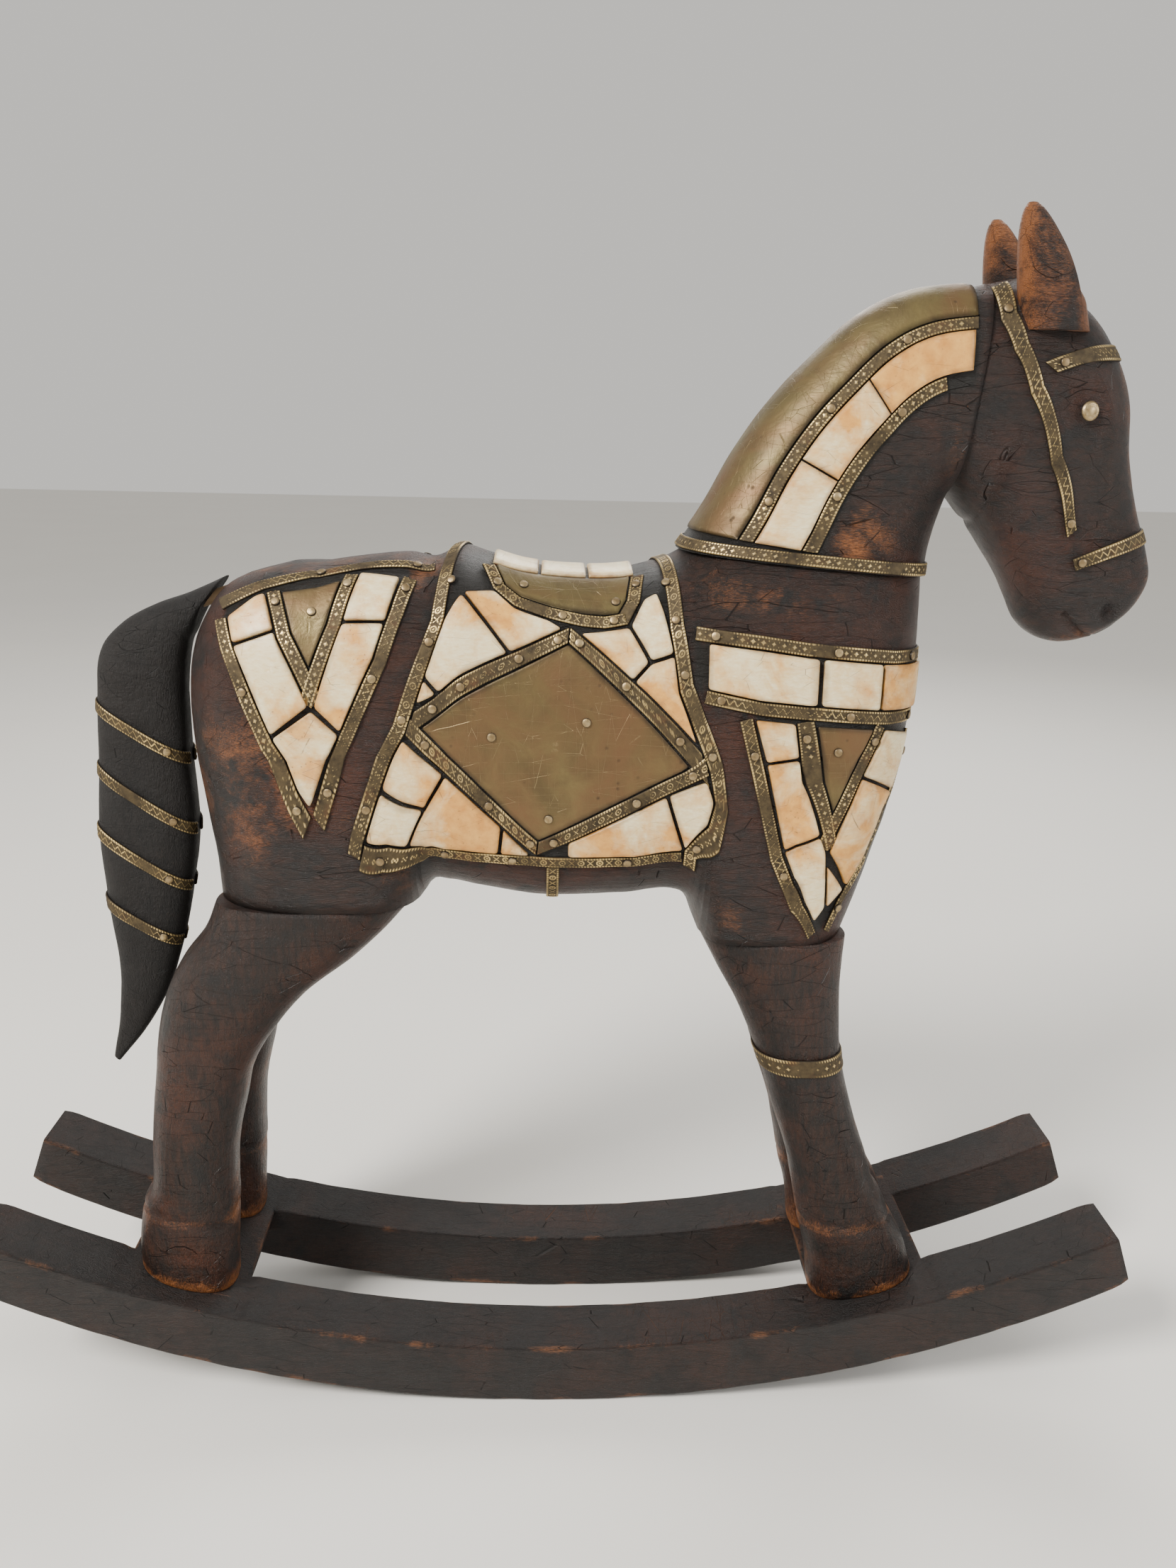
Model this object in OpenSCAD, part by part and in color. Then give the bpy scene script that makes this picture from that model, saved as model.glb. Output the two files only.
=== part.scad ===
// Decorative table-top rocking horse: carved wood with brass sheet, brass strip and bone inlay.
// X runs forward to the nose, +Y is the horse's left, Z is up, and the floor is at z = 0.

/* [Rockers] */
// Straight length of a rocker from end to end
rocker_len = 380; // [340:1:440]
// Width of a rocker
rocker_w = 21; // [15:0.5:28]
// Thickness of a rocker at its middle
rocker_t = 21; // [17:0.5:27]
// Radius of the rocking edge
rocker_r = 413; // [380:1:520]
// Clear gap between the two rockers
rocker_gap = 35; // [30:0.5:42]
// How far the top edge of each end is set back
rocker_lean = 6; // [0:1:12]

/* [Cross slats] */
// Width of a cross slat along the rockers
slat_w = 40; // [36:1:48]
// Thickness of a cross slat
slat_t = 9; // [6:0.5:11]
// How far a slat end is let into each rocker
slat_let_in = 8; // [4:0.5:9]
// Middle of the front slat
slat_front_x = 108; // [100:1:116]
// Middle of the rear slat
slat_rear_x = -122; // [-130:1:-114]

/* [Legs] */
// Height of the belly above the floor
belly_z = 170; // [160:1:200]
// Sideways distance of a front hoof from the middle
front_leg_y = 18; // [16:0.5:20]
// Sideways distance of a rear hoof from the middle
rear_leg_y = 19.5; // [17:0.5:22]
// Width of a leg across the horse
leg_w = 25; // [20:0.5:28]

/* [Torso, neck and head] */
// Width of the torso
torso_w = 67; // [60:1:76]
// Width of the neck at the collar
neck_w = 51; // [45:1:57]
// Width of the head at the cheeks
head_w = 37; // [32:1:44]
// Distance between the middles of the ears
ear_gap = 27; // [22:1:30]
// Thickness of the tail across the horse
tail_w = 17; // [12:0.5:22]

/* [Dowels and nails] */
// Diameter of the dowels in the neck and the legs
dowel_d = 9; // [6:0.5:11]
// Diameter of the dowels in the head and the tail
small_dowel_d = 7; // [5:0.5:9]
// Diameter of the pegs through the slats into the hooves
peg_d = 6; // [4:0.5:8]
// Diameter of the slat nails
nail_d = 2.2; // [1.6:0.1:3]
// Radial clearance of a dowel, peg or nail in its hole
dowel_fit = 0.1; // [0.05:0.05:0.3]
// Thickness of the glue in a wood joint
glue_t = 0.15; // [0.1:0.05:0.3]

/* [Brass and bone] */
// Width of a brass strip
strip_w = 3.8; // [3.2:0.1:4.6]
// Thickness of brass strip and sheet
brass_t = 0.5; // [0.4:0.05:0.8]
// Thickness of the bone tiles
bone_t = 1.1; // [0.8:0.1:1.6]
// Bed of pitch under the brass and the bone
bed_t = 0.3; // [0.25:0.05:0.4]
// Gap between neighbouring tiles
tile_gap = 1; // [0.6:0.1:1.4]
// Diameter of a brass pin's head
pin_d = 2.7; // [2:0.1:3.2]
// Height of a brass pin's head
pin_h = 0.6; // [0.4:0.1:1]
// Diameter of an eye stud
eye_d = 5.6; // [4:0.2:7]

/* [Hidden] */

// ---------- curves through hand-set stations ----------
function last(t) = len(t) - 1;
function lerp(a, b, f) = a + (b - a) * f;
function unit(v) = v / norm(v);
// index of the stretch of table t that holds x
function stretch(t, x) = max([0, for (i = [0 : last(t) - 1]) if (t[i][0] <= x) i]);
function slope(t, i, c) =
  let(a = max(i - 1, 0), b = min(i + 1, last(t)))
  (t[b][c] - t[a][c]) / (t[b][0] - t[a][0]);
// smooth value of column c of table t at x
function curve(t, x, c = 1) =
  x <= t[0][0] ? t[0][c] :
  x >= t[last(t)][0] ? t[last(t)][c] :
  let(i = stretch(t, x), h = t[i + 1][0] - t[i][0], u = (x - t[i][0]) / h)
  t[i][c] * (1 + 2 * u) * (1 - u) * (1 - u) + slope(t, i, c) * h * u * (1 - u) * (1 - u)
  + t[i + 1][c] * u * u * (3 - 2 * u) - slope(t, i + 1, c) * h * u * u * (1 - u);
function straight(t, x) =
  let(i = stretch(t, x)) lerp(t[i][1], t[i + 1][1], (x - t[i][0]) / (t[i + 1][0] - t[i][0]));
// half width of a rounded section, f from -1 to 1 between its two edges
function swell(f, n) = pow(max(0, 1 - pow(abs(f), n)), 1 / n);

// ---------- closed skins ----------
// rings run up the right side and down the left, so the two ends close as ladders
module skin(rings) {
  k = len(rings[0]);
  m = k / 2;
  e = last(rings);
  points = [for (r = rings) each r];
  walls = [for (i = [0 : e - 1], j = [0 : k - 1])
    let(a = i * k + j, b = i * k + (j + 1) % k) each [[a, b, a + k], [b, b + k, a + k]]];
  near_end = [for (j = [0 : m - 2])
    let(a = j, b = j + 1, c = k - 2 - j, d = k - 1 - j) each [[a, c, b], [a, d, c]]];
  far_end = [for (j = [0 : m - 2])
    let(o = e * k, a = o + j, b = o + j + 1, c = o + k - 2 - j, d = o + k - 1 - j)
    each [[a, b, c], [a, c, d]]];
  polyhedron(points, concat(walls, near_end, far_end), convexity = 6);
}

// ---------- torso: a barrel with rounded ends ----------
// heights in these tables are above the belly line
back_line = [[-78, 101.5], [-70, 103], [-58, 105], [-46, 106], [-38, 105], [-30, 108.5], [-24, 107],
  [-12, 103.5], [4, 102], [18, 102.5], [26, 104.5], [31, 106], [36, 108.8], [40, 112], [50, 120],
  [70, 124], [110, 124]];
belly_line = [[-70, -50], [-58, -42], [-47, -12], [-40, 4], [-34, 5], [-24, 3], [-5, 0], [20, 1], [36, 2.5],
  [42, -4], [50, -40], [60, -58], [70, -60], [110, -60]];
widest_line = [[-70, 50], [-40, 52], [0, 50], [40, 48], [70, 48]];
half_width = [[-70, 1], [-45, 0.985], [-15, 0.97], [10, 0.965], [35, 0.975], [55, 0.97], [70, 0.945]];
chest_front = [[-8, 91], [6, 95.5], [20, 99.5], [31, 102.5], [46, 105], [64, 107], [80, 107.5], [104, 107]];
rump_rear = [[2, -106], [15, -106.5], [30, -108.5], [51, -111], [69, -111], [80, -109], [88, -105.5],
  [95, -100.5], [99, -94], [103, -80]];
torso_front = 70;
torso_rear = -70;
torso_n = 2.6;
chest_n = 2.5;
rump_n = 2.7;
front_joint = -8;
rear_joint = 2;
collar_rear = [34, 109];
collar_front = [107.5, 102.75];
collar_slope = (collar_front[1] - collar_rear[1]) / (collar_front[0] - collar_rear[0]);
function collar_z(x) = collar_rear[1] + collar_slope * (x - collar_rear[0]);
function top_cut(x) = x > collar_rear[0] ? collar_z(x) : 200;
function bottom_cut(x) = x < -40 ? rear_joint : x > 40 ? front_joint : -200;
function torso_top(x) = min(curve(back_line, x), top_cut(x));
function torso_bottom(x) = max(curve(belly_line, x), bottom_cut(x));
function section_y(x, z) =
  let(w = torso_w / 2 * curve(half_width, x), zc = curve(widest_line, x))
  w * swell(z > zc ? (z - zc) / (curve(back_line, x) - zc) : (zc - z) / (zc - curve(belly_line, x)), torso_n);
// angle around the section at which its top or bottom is reached
pole = 86;
function lift_angle(open, cut) = cut >= open ? pole : min(pole, asin(max(0, cut / open)));
function torso_level(x, f) =
  let(zc = curve(widest_line, x),
      up = curve(back_line, x) - zc, down = zc - curve(belly_line, x),
      high = lift_angle(up, torso_top(x) - zc), low = lift_angle(down, zc - torso_bottom(x)),
      a = lerp(-low, high, f))
  zc + (a > 0 ? up : down) * sin(a);
// a ring of the torso: u in millimetres along the middle, or past it towards either end in degrees
function torso_ring(x, turn, levels) =
  let(n = x > 0 ? chest_n : rump_n, side = [for (j = [0 : levels])
        let(z = torso_level(x, j / levels), y = section_y(x, z),
            end_x = x > 0 ? curve(chest_front, z) : curve(rump_rear, z))
        turn == 0 ? [x, y, z] :
        [x + (end_x - x) * pow(sin(turn), 2 / n), y * pow(cos(turn), 2 / n), z]])
  concat([for (p = side) [p[0], -p[1], p[2] + belly_z]],
         [for (j = [levels : -1 : 0]) [side[j][0], side[j][1], side[j][2] + belly_z]]);
end_turns = [10, 22, 34, 46, 58, 70, 82];
torso_levels = 11;
torso_stations = [-70, -64, -58, -52, -46, -41, -37, -33, -30, -27, -23, -17, -10, -2, 6, 14, 21, 26,
  31, 34, 37, 42, 48, 55, 62, 70];
module torso_skin() {
  skin(concat(
    [for (i = [last(end_turns) : -1 : 0]) torso_ring(torso_rear, end_turns[i], torso_levels)],
    [for (x = torso_stations) torso_ring(x, 0, torso_levels)],
    [for (a = end_turns) torso_ring(torso_front, a, torso_levels)]));
}

// ---------- neck and head: sections fanned between an inner and an outer curve ----------
neck_inner = [[0, 107.5, 102.75], [1, 108, 107], [2, 108.5, 111], [3, 109.2, 115], [4, 110, 118.5],
  [5, 110.8, 121.5], [6, 111.5, 124.5], [7, 112.5, 127]];
neck_outer = [[0, 34, 109], [1, 42, 121], [2, 50.5, 137], [3, 60.5, 151.5], [4, 72, 164],
  [5, 84, 175], [6, 98, 181.5], [7, 118, 184]];
neck_half = [[0, 1], [1, 0.89], [2, 0.82], [4, 0.76], [7, 0.71]];
neck_n = 2.8;
head_inner = [[0, 112.5, 127], [1, 114.5, 125], [2, 117.5, 121.5], [3, 122, 116.5], [4, 127, 110],
  [5, 132, 103], [6, 136, 95.5], [7, 139.5, 89], [8, 145, 84.5], [9, 152, 82.6], [10, 159, 84]];
head_outer = [[0, 118, 184], [1, 133, 186], [2, 148, 178], [3, 158, 166], [4, 163.5, 154], [5, 166, 139],
  [6, 171, 123], [7, 176, 111], [8, 177.8, 103], [9, 175, 96], [10, 170, 90.5]];
head_half = [[0, 0.95], [1, 1], [2, 1.02], [3, 1], [4, 0.92], [5, 0.81], [6, 0.7], [7, 0.63], [8, 0.6],
  [9, 0.54], [10, 0.4]];
head_n = 2.4;
// point of a fanned section: s along the piece, a the angle around it, -90 at the inner edge
function fan_point(inner, outer, half, w, n, s, a) =
  let(p = [curve(inner, s, 1), curve(inner, s, 2)], q = [curve(outer, s, 1), curve(outer, s, 2)],
      f = sin(a), c = (p + q) / 2 + (q - p) / 2 * f,
      y = w / 2 * curve(half, s) * swell(f, n))
  [c[0], (cos(a) < 0 ? 1 : -1) * y, c[1] + belly_z];
function fan_ring(inner, outer, half, w, n, s, levels) =
  concat([for (j = [0 : levels]) fan_point(inner, outer, half, w, n, s, lerp(-pole, pole, j / levels))],
          [for (j = [0 : levels])
            fan_point(inner, outer, half, w, n, s, lerp(180 - pole, 180 + pole, j / levels))]);
function neck_point(s, a) = fan_point(neck_inner, neck_outer, neck_half, neck_w, neck_n, s, a);
function head_point(s, a) = fan_point(head_inner, head_outer, head_half, head_w, head_n, s, a);
fan_levels = 9;
module neck_skin() {
  skin([for (s = [0 : 0.5 : 7]) fan_ring(neck_inner, neck_outer, neck_half, neck_w, neck_n, s, fan_levels)]);
}
module head_skin() {
  skin([for (s = [0 : 0.5 : 10]) fan_ring(head_inner, head_outer, head_half, head_w, head_n, s, fan_levels)]);
}

// ---------- uprights: legs and ears, level sections with a middle and two half sizes ----------
// closed skin through flat rings
module tube(rings) {
  k = len(rings[0]);
  e = last(rings);
  walls = [for (i = [0 : e - 1], j = [0 : k - 1])
    let(a = i * k + j, b = i * k + (j + 1) % k) each [[a, b + k, b], [a, a + k, b + k]]];
  polyhedron([for (r = rings) each r],
    concat(walls, [[for (j = [0 : k - 1]) j]], [[for (j = [k - 1 : -1 : 0]) e * k + j]]), convexity = 6);
}
// a level section from rear edge to front edge about a middle y
function level_ring(z, rear, front, mid_y, half_y, n, count, tilt = 0) =
  let(c = (rear + front) / 2, h = (front - rear) / 2)
  [for (i = [0 : count - 1])
    let(a = 360 * (i + 0.5) / count, x = h * sign(cos(a)) * pow(abs(cos(a)), 2 / n))
    [c + x, mid_y + half_y * sign(sin(a)) * pow(abs(sin(a)), 2 / n), z + tilt * x]];

// ---------- seats on the rockers ----------
rocker_top_r = rocker_r + 9;
rocker_y = (rocker_gap + rocker_w) / 2;
function seat_angle(x) = asin(x / rocker_top_r);
function seat_z(x) = rocker_t + rocker_top_r * (1 - cos(seat_angle(x)));
// places its children on the flat seat of the slat whose middle is at x
module on_seat(x) {
  translate([x, 0, seat_z(x)]) rotate([0, -seat_angle(x), 0]) children();
}

// rows are share of the leg's height above its seat, rear edge and front edge
front_leg_rows = [[0, 88, 123], [0.11, 86, 119], [0.2, 82.5, 113.5], [0.27, 80.5, 109.5], [0.3, 79.5, 107],
  [0.37, 77.5, 104], [0.5, 72, 98], [0.67, 65, 92], [0.81, 57.5, 90.3],
  [0.91, 50.5, 90], [1, 44.5, 90.5]];
rear_leg_rows = [[0, -137, -106.5], [0.08, -137, -106], [0.17, -135.5, -105], [0.22, -134, -104.5],
  [0.25, -131.5, -104.5], [0.38, -130, -103], [0.49, -128.5, -99.5], [0.57, -127, -97],
  [0.66, -125.5, -90.5], [0.77, -122, -79], [0.86, -116, -64], [0.93, -109, -54], [1, -105, -46]];
leg_n = 2.4;
leg_sides = 20;
// the leg's outer face meets the torso's side wall at the joint
// a leg's half width at the hip as a share of the torso's half width there
hip_share = 0.43;
function hip_y(x, joint) = section_y(x, joint) * (1 - hip_share);
function leg_shape(rows, seat_x, joint, foot_y, hip, f) =
  let(low = seat_z(seat_x), high = belly_z + joint - glue_t,
      c = (curve(rows, f, 1) + curve(rows, f, 2)) / 2,
      tilt = f > 0.3 ? 0 : tan(seat_angle(seat_x)) * (1 - f / 0.3))
  [low + tilt * (c - seat_x) + (high - low) * f, curve(rows, f, 1), curve(rows, f, 2),
   lerp(foot_y, hip, pow(f, 2)),
   lerp(leg_w / 2, hip * hip_share / (1 - hip_share), pow(f, 2)), tilt];
function leg_ring(rows, seat_x, joint, foot_y, hip, f) =
  let(r = leg_shape(rows, seat_x, joint, foot_y, hip, f))
  level_ring(r[0], r[1], r[2], r[3], r[4], leg_n, leg_sides, r[5]);
leg_shares = [0, 0.06, 0.12, 0.18, 0.24, 0.27, 0.3, 0.36, 0.42,
  0.5, 0.58, 0.66, 0.73, 0.79, 0.85, 0.9, 0.95, 1];
front_hip_x = 70;
rear_hip_x = -82;
front_hip_y = hip_y(front_hip_x, front_joint);
rear_hip_y = hip_y(torso_rear, rear_joint);
module front_leg_skin() {
  tube([for (f = leg_shares)
    leg_ring(front_leg_rows, slat_front_x, front_joint, front_leg_y, front_hip_y, f)]);
}
module rear_leg_skin() {
  tube([for (f = leg_shares)
    leg_ring(rear_leg_rows, slat_rear_x, rear_joint, rear_leg_y, rear_hip_y, f)]);
}

// ---------- tail ----------
tail_outer = [[0, -100.8, 98], [1, -112, 93], [2, -122, 89.5], [3, -132, 84], [4, -139.5, 75],
  [5, -141.8, 59],
  [6, -143.2, 39], [7, -145, 19], [8, -144.5, -5], [9, -143, -27], [10, -144.5, -45], [11, -148, -62]];
tail_inner = [[0, -107.8, 89], [1, -110.5, 82], [2, -112.5, 78], [3, -114, 71], [4, -115, 60], [5, -115, 42],
  [6, -114.5, 19], [7, -117.5, 0], [8, -122, -19], [9, -128, -37], [10, -136.5, -52], [11, -146.3, -64]];
tail_half = [[0, 0.8], [3, 0.95], [5, 1], [7, 0.95], [8, 0.85], [9, 0.7], [10, 0.5], [11, 0.2]];
tail_n = 2.8;
function tail_point(s, a) = fan_point(tail_inner, tail_outer, tail_half, tail_w, tail_n, s, a);
module tail_skin() {
  skin([for (s = [11 : -0.5 : 0]) fan_ring(tail_inner, tail_outer, tail_half, tail_w, tail_n, s, 7)]);
}

// ---------- dowels, pegs and nails ----------
neck_dowel_x = 70;
neck_dowel_len = 44;
head_dowel_len = 36;
leg_dowel_len = 40;
peg_depth = 20;
nail_len = 18;
tail_peg_d = 4;
tail_peg_len = 22;
tail_peg_mid = [-105.5, 91.5];
tail_peg_tip = 19.5;
nail_inset = 15;
nail_y = (rocker_gap + slat_let_in) / 2;
module at_neck_joint() {
  translate([neck_dowel_x, 0, belly_z + collar_z(neck_dowel_x)])
    rotate([0, -atan(collar_slope), 0]) children();
}
poll_line = [head_outer[0][1] - head_inner[0][1], head_outer[0][2] - head_inner[0][2]];
module at_head_joint() {
  translate([head_inner[0][1] + poll_line[0] / 2, 0, belly_z + head_inner[0][2] + poll_line[1] / 2])
    rotate([0, atan2(poll_line[0], poll_line[1]) + 90, 0]) children();
}
module at_tail_joint() {
  translate([tail_peg_mid[0], 0, belly_z + tail_peg_mid[1]]) rotate([0, 90 - tail_peg_tip, 0]) children();
}
module rod(d, len, fit = 0) {
  translate([0, 0, -len / 2 - fit]) cylinder(d = d + 2 * fit, h = len + 2 * fit, $fn = 48);
}
module neck_rod(fit = 0) at_neck_joint() rod(dowel_d, neck_dowel_len, fit);
module head_rod(fit = 0) at_head_joint() rod(small_dowel_d, head_dowel_len, fit);
module tail_rod(fit = 0) at_tail_joint() rod(tail_peg_d, tail_peg_len, fit);
module front_hip_rod(fit = 0) {
  translate([front_hip_x, front_hip_y, belly_z + front_joint]) rod(dowel_d, leg_dowel_len, fit);
}
module rear_hip_rod(fit = 0) {
  translate([rear_hip_x, rear_hip_y, belly_z + rear_joint]) rod(dowel_d, leg_dowel_len, fit);
}
// the middle of a hoof, measured along its seat from the slat's middle
front_hoof_off = (front_leg_rows[0][1] + front_leg_rows[0][2]) / 2 - slat_front_x;
rear_hoof_off = (rear_leg_rows[0][1] + rear_leg_rows[0][2]) / 2 - slat_rear_x;
module hoof_rod(seat_x, off, y, fit = 0) {
  on_seat(seat_x) translate([off, y, -slat_t - fit])
    cylinder(d = peg_d + 2 * fit, h = slat_t + peg_depth + 2 * fit, $fn = 48);
}
module slat_rods(seat_x, fit = 0) {
  on_seat(seat_x) for (x = [-nail_inset, nail_inset], s = [-1, 1])
    translate([x, s * nail_y, -nail_len - fit]) cylinder(d = nail_d + 2 * fit, h = nail_len + fit, $fn = 24);
}

// ---------- wooden pieces ----------
wood = [0.2, 0.11, 0.07];
black_wood = [0.07, 0.055, 0.05];
pale_wood = [0.62, 0.46, 0.3];
module torso() {
  color(wood) difference() {
    torso_skin();
    at_neck_joint() translate([-60, -60, -glue_t]) cube([120, 120, 60]);
    neck_rod(dowel_fit);
    tail_rod(dowel_fit);
    for (m = [0, 1]) mirror([0, m, 0]) {
      front_hip_rod(dowel_fit);
      rear_hip_rod(dowel_fit);
    }
  }
}
module neck() {
  color(wood) difference() {
    neck_skin();
    neck_rod(dowel_fit);
    head_rod(dowel_fit);
  }
}
ear_rows = [[0, 125.5, 145], [11, 123.8, 141.8], [19, 122.8, 138], [26, 122.5, 133], [30.5, 123, 129],
  [32.5, 124, 126.5]];
ear_base = 171;
ear_half = [[0, 6.2], [11, 6], [19, 5.4], [26, 4.2], [30.5, 2.8], [32.5, 1.2]];
module ear() {
  tube([for (z = [0, 4, 8, 12, 16, 20, 24, 27, 29.5, 31.5, 32.5])
    level_ring(belly_z + ear_base + z, curve(ear_rows, z, 1), curve(ear_rows, z, 2), ear_gap / 2,
      curve(ear_half, z), 2.1, 12)]);
}
module head() {
  color(wood) difference() {
    union() {
      head_skin();
      for (m = [0, 1]) mirror([0, m, 0]) ear();
    }
    head_rod(dowel_fit);
  }
}
module front_leg(side) {
  color(wood) mirror([0, side, 0]) difference() {
    front_leg_skin();
    front_hip_rod(dowel_fit);
    hoof_rod(slat_front_x, front_hoof_off, front_leg_y, dowel_fit);
  }
}
module rear_leg(side) {
  color(wood) mirror([0, side, 0]) difference() {
    rear_leg_skin();
    rear_hip_rod(dowel_fit);
    hoof_rod(slat_rear_x, rear_hoof_off, rear_leg_y, dowel_fit);
  }
}
module leg_front_left() front_leg(0);
module leg_front_right() front_leg(1);
module leg_rear_left() rear_leg(0);
module leg_rear_right() rear_leg(1);
module tail() {
  color(black_wood) difference() {
    tail_skin();
    tail_rod(dowel_fit);
  }
}
module slat_block(seat_x, fit) {
  half_y = rocker_gap / 2 + slat_let_in;
  on_seat(seat_x) translate([-slat_w / 2 - fit, -half_y - fit, -slat_t - fit])
    cube([slat_w + 2 * fit, 2 * half_y + 2 * fit, slat_t + 2 * fit]);
}
module cross_slat(seat_x, off, y) {
  color(wood) difference() {
    slat_block(seat_x, 0);
    slat_rods(seat_x, dowel_fit);
    for (s = [-1, 1]) hoof_rod(seat_x, off, s * y, dowel_fit);
  }
}
module cross_slat_front() cross_slat(slat_front_x, front_hoof_off, front_leg_y);
module cross_slat_rear() cross_slat(slat_rear_x, rear_hoof_off, rear_leg_y);
seat_flat = 22;
module rocker(side) {
  edge = rocker_len / 2;
  low = rocker_r - sqrt(rocker_r * rocker_r - edge * edge);
  high = seat_z(edge - rocker_lean);
  reach = 120;
  rake = rocker_lean / (high - low);
  color(wood) difference() {
    translate([0, side * rocker_y + rocker_w / 2, 0]) rotate([90, 0, 0]) intersection() {
      difference() {
        translate([0, rocker_r, 0]) cylinder(r = rocker_r, h = rocker_w, $fn = 400);
        translate([0, rocker_t + rocker_top_r, -1]) cylinder(r = rocker_top_r, h = rocker_w + 2, $fn = 400);
      }
      linear_extrude(height = rocker_w)
        polygon([[-edge - rake * low, 0], [edge + rake * low, 0],
          [edge - rake * (reach - low), reach], [-edge + rake * (reach - low), reach]]);
    }
    for (x = [slat_front_x, slat_rear_x]) {
      slat_block(x, glue_t);
      slat_rods(x, dowel_fit);
      on_seat(x) translate([-seat_flat, -100, 0]) cube([2 * seat_flat, 200, 20]);
    }
  }
}
module rocker_right() rocker(-1);
module rocker_left() rocker(1);
module neck_dowel() color(pale_wood) neck_rod();
module head_dowel() color(pale_wood) head_rod();
module tail_peg() color(pale_wood) tail_rod();
module leg_dowels() {
  color(pale_wood) both() {
    front_hip_rod();
    rear_hip_rod();
  }
}
module hoof_pegs() {
  color(pale_wood) for (s = [-1, 1]) {
    hoof_rod(slat_front_x, front_hoof_off, s * front_leg_y);
    hoof_rod(slat_rear_x, rear_hoof_off, s * rear_leg_y);
  }
}
module slat_nails() {
  color([0.35, 0.33, 0.32]) for (x = [slat_front_x, slat_rear_x]) slat_rods(x);
}

// ---------- thin pieces laid on the wood ----------
// a face is a function of two numbers, in about millimetres, that gives a point on the wood
nudge = 0.25;
function normal(face, p) =
  unit(cross(face(p[0], p[1] + nudge) - face(p[0], p[1] - nudge),
    face(p[0] + nudge, p[1]) - face(p[0] - nudge, p[1])));
function lifted(face, p, d) = face(p[0], p[1]) + d * normal(face, p);
facet = 6;
tile_facet = 9;
function lengthen(path, most = facet) =
  [for (i = [0 : last(path) - 1]) let(n = ceil(norm(path[i + 1] - path[i]) / most))
    for (k = [0 : n - 1]) lerp(path[i], path[i + 1], k / n), path[last(path)]];
function left_of(v) = [-v[1], v[0]];
// a line beside a path on its left, mitred at the corners
function beside(path, d) =
  [for (i = [0 : last(path)])
    let(b = unit(i < last(path) ? path[i + 1] - path[i] : path[i] - path[i - 1]),
        a = i > 0 ? unit(path[i] - path[i - 1]) : b,
        m = unit(left_of(a) + left_of(b)))
    path[i] + m * d / max(0.3, m * left_of(b))];
// a sheet between a low edge and a high edge with equal numbers of points, the high one on the left
module band(face, low, high, thick = brass_t, cuts = 1) {
  k = cuts + 1;
  m = last(low);
  points = [for (d = [bed_t, bed_t + thick], i = [0 : m], j = [0 : cuts])
    lifted(face, lerp(low[i], high[i], j / cuts), d)];
  o = len(low) * k;
  skins = [for (i = [0 : m - 1], j = [0 : cuts - 1]) let(p = i * k + j, q = p + k)
    each [[o + p, o + q, o + q + 1], [o + p, o + q + 1, o + p + 1], [p, q + 1, q], [p, p + 1, q + 1]]];
  long = [for (i = [0 : m - 1]) let(p = i * k, q = p + k, r = p + cuts, t = q + cuts)
    each [[p, q, o + q], [p, o + q, o + p], [t, r, o + r], [t, o + r, o + t]]];
  short = [for (j = [0 : cuts - 1]) let(p = j, q = m * k + j)
    each [[p, o + p, o + p + 1], [p, o + p + 1, p + 1], [q, q + 1, o + q + 1], [q, o + q + 1, o + q]]];
  polyhedron(points, concat(skins, long, short), convexity = 4);
}
// a strip on the left of a path, starting at a distance from it
module strip(face, path, from = 0) {
  p = lengthen(path);
  band(face, beside(p, from), beside(p, from + strip_w));
}
// a strip on the left of the line a to b, with its two ends cut along the directions ea and eb
module cut_strip(face, a, b, ea, eb) {
  n = left_of(unit(b - a));
  clear = unit(b - a) * tile_gap / 4;
  low = [a + clear, b - clear];
  high = [low[0] + ea * strip_w / (ea * n), low[1] + eb * strip_w / (eb * n)];
  cuts = ceil(norm(b - a) / facet);
  band(face, [for (i = [0 : cuts]) lerp(low[0], low[1], i / cuts)],
    [for (i = [0 : cuts]) lerp(high[0], high[1], i / cuts)]);
}
// a shape drawn inwards by its own distance on each side; it runs with its inside on the left
function inset(shape, d) =
  let(n = len(shape))
  [for (i = [0 : n - 1])
    let(a = unit(shape[i] - shape[(i + n - 1) % n]), b = unit(shape[(i + 1) % n] - shape[i]),
        na = left_of(a), nb = left_of(b), da = d[(i + n - 1) % n], db = d[i], c = cross(a, b))
    abs(c) < 0.05 ? shape[i] + nb * db : shape[i] + (b * da - a * db) / c];
function even(shape, d) = [for (p = shape) d];
// a flat shape pressed onto a face; shares are its rings from the rim inwards
module inlay(face, shape, thick, shares) {
  rim = lengthen(concat(shape, [shape[0]]), tile_facet);
  n = last(rim);
  c = [for (q = shape) 1] * shape / len(shape);
  r = len(shares);
  flat = concat([for (f = shares, i = [0 : n - 1]) lerp(c, rim[i], f)], [c]);
  o = len(flat);
  points = [for (d = [bed_t, bed_t + thick], p = flat) lifted(face, p, d)];
  rings = r < 2 ? [] : [for (k = [0 : r - 2], i = [0 : n - 1])
    let(a = k * n + i, b = k * n + (i + 1) % n) each [[a, b + n, b], [a, a + n, b + n]]];
  fan = [for (i = [0 : n - 1]) [(r - 1) * n + i, o - 1, (r - 1) * n + (i + 1) % n]];
  low = concat(rings, fan);
  sides = [for (i = [0 : n - 1]) let(j = (i + 1) % n) each [[i, j, o + j], [i, o + j, o + i]]];
  polyhedron(points,
    concat([for (t = low) [o + t[0], o + t[2], o + t[1]]], low, sides), convexity = 4);
}
tile_rings = [1, 0.5];
plate_rings = [1, 0.75, 0.5, 0.25];
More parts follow.
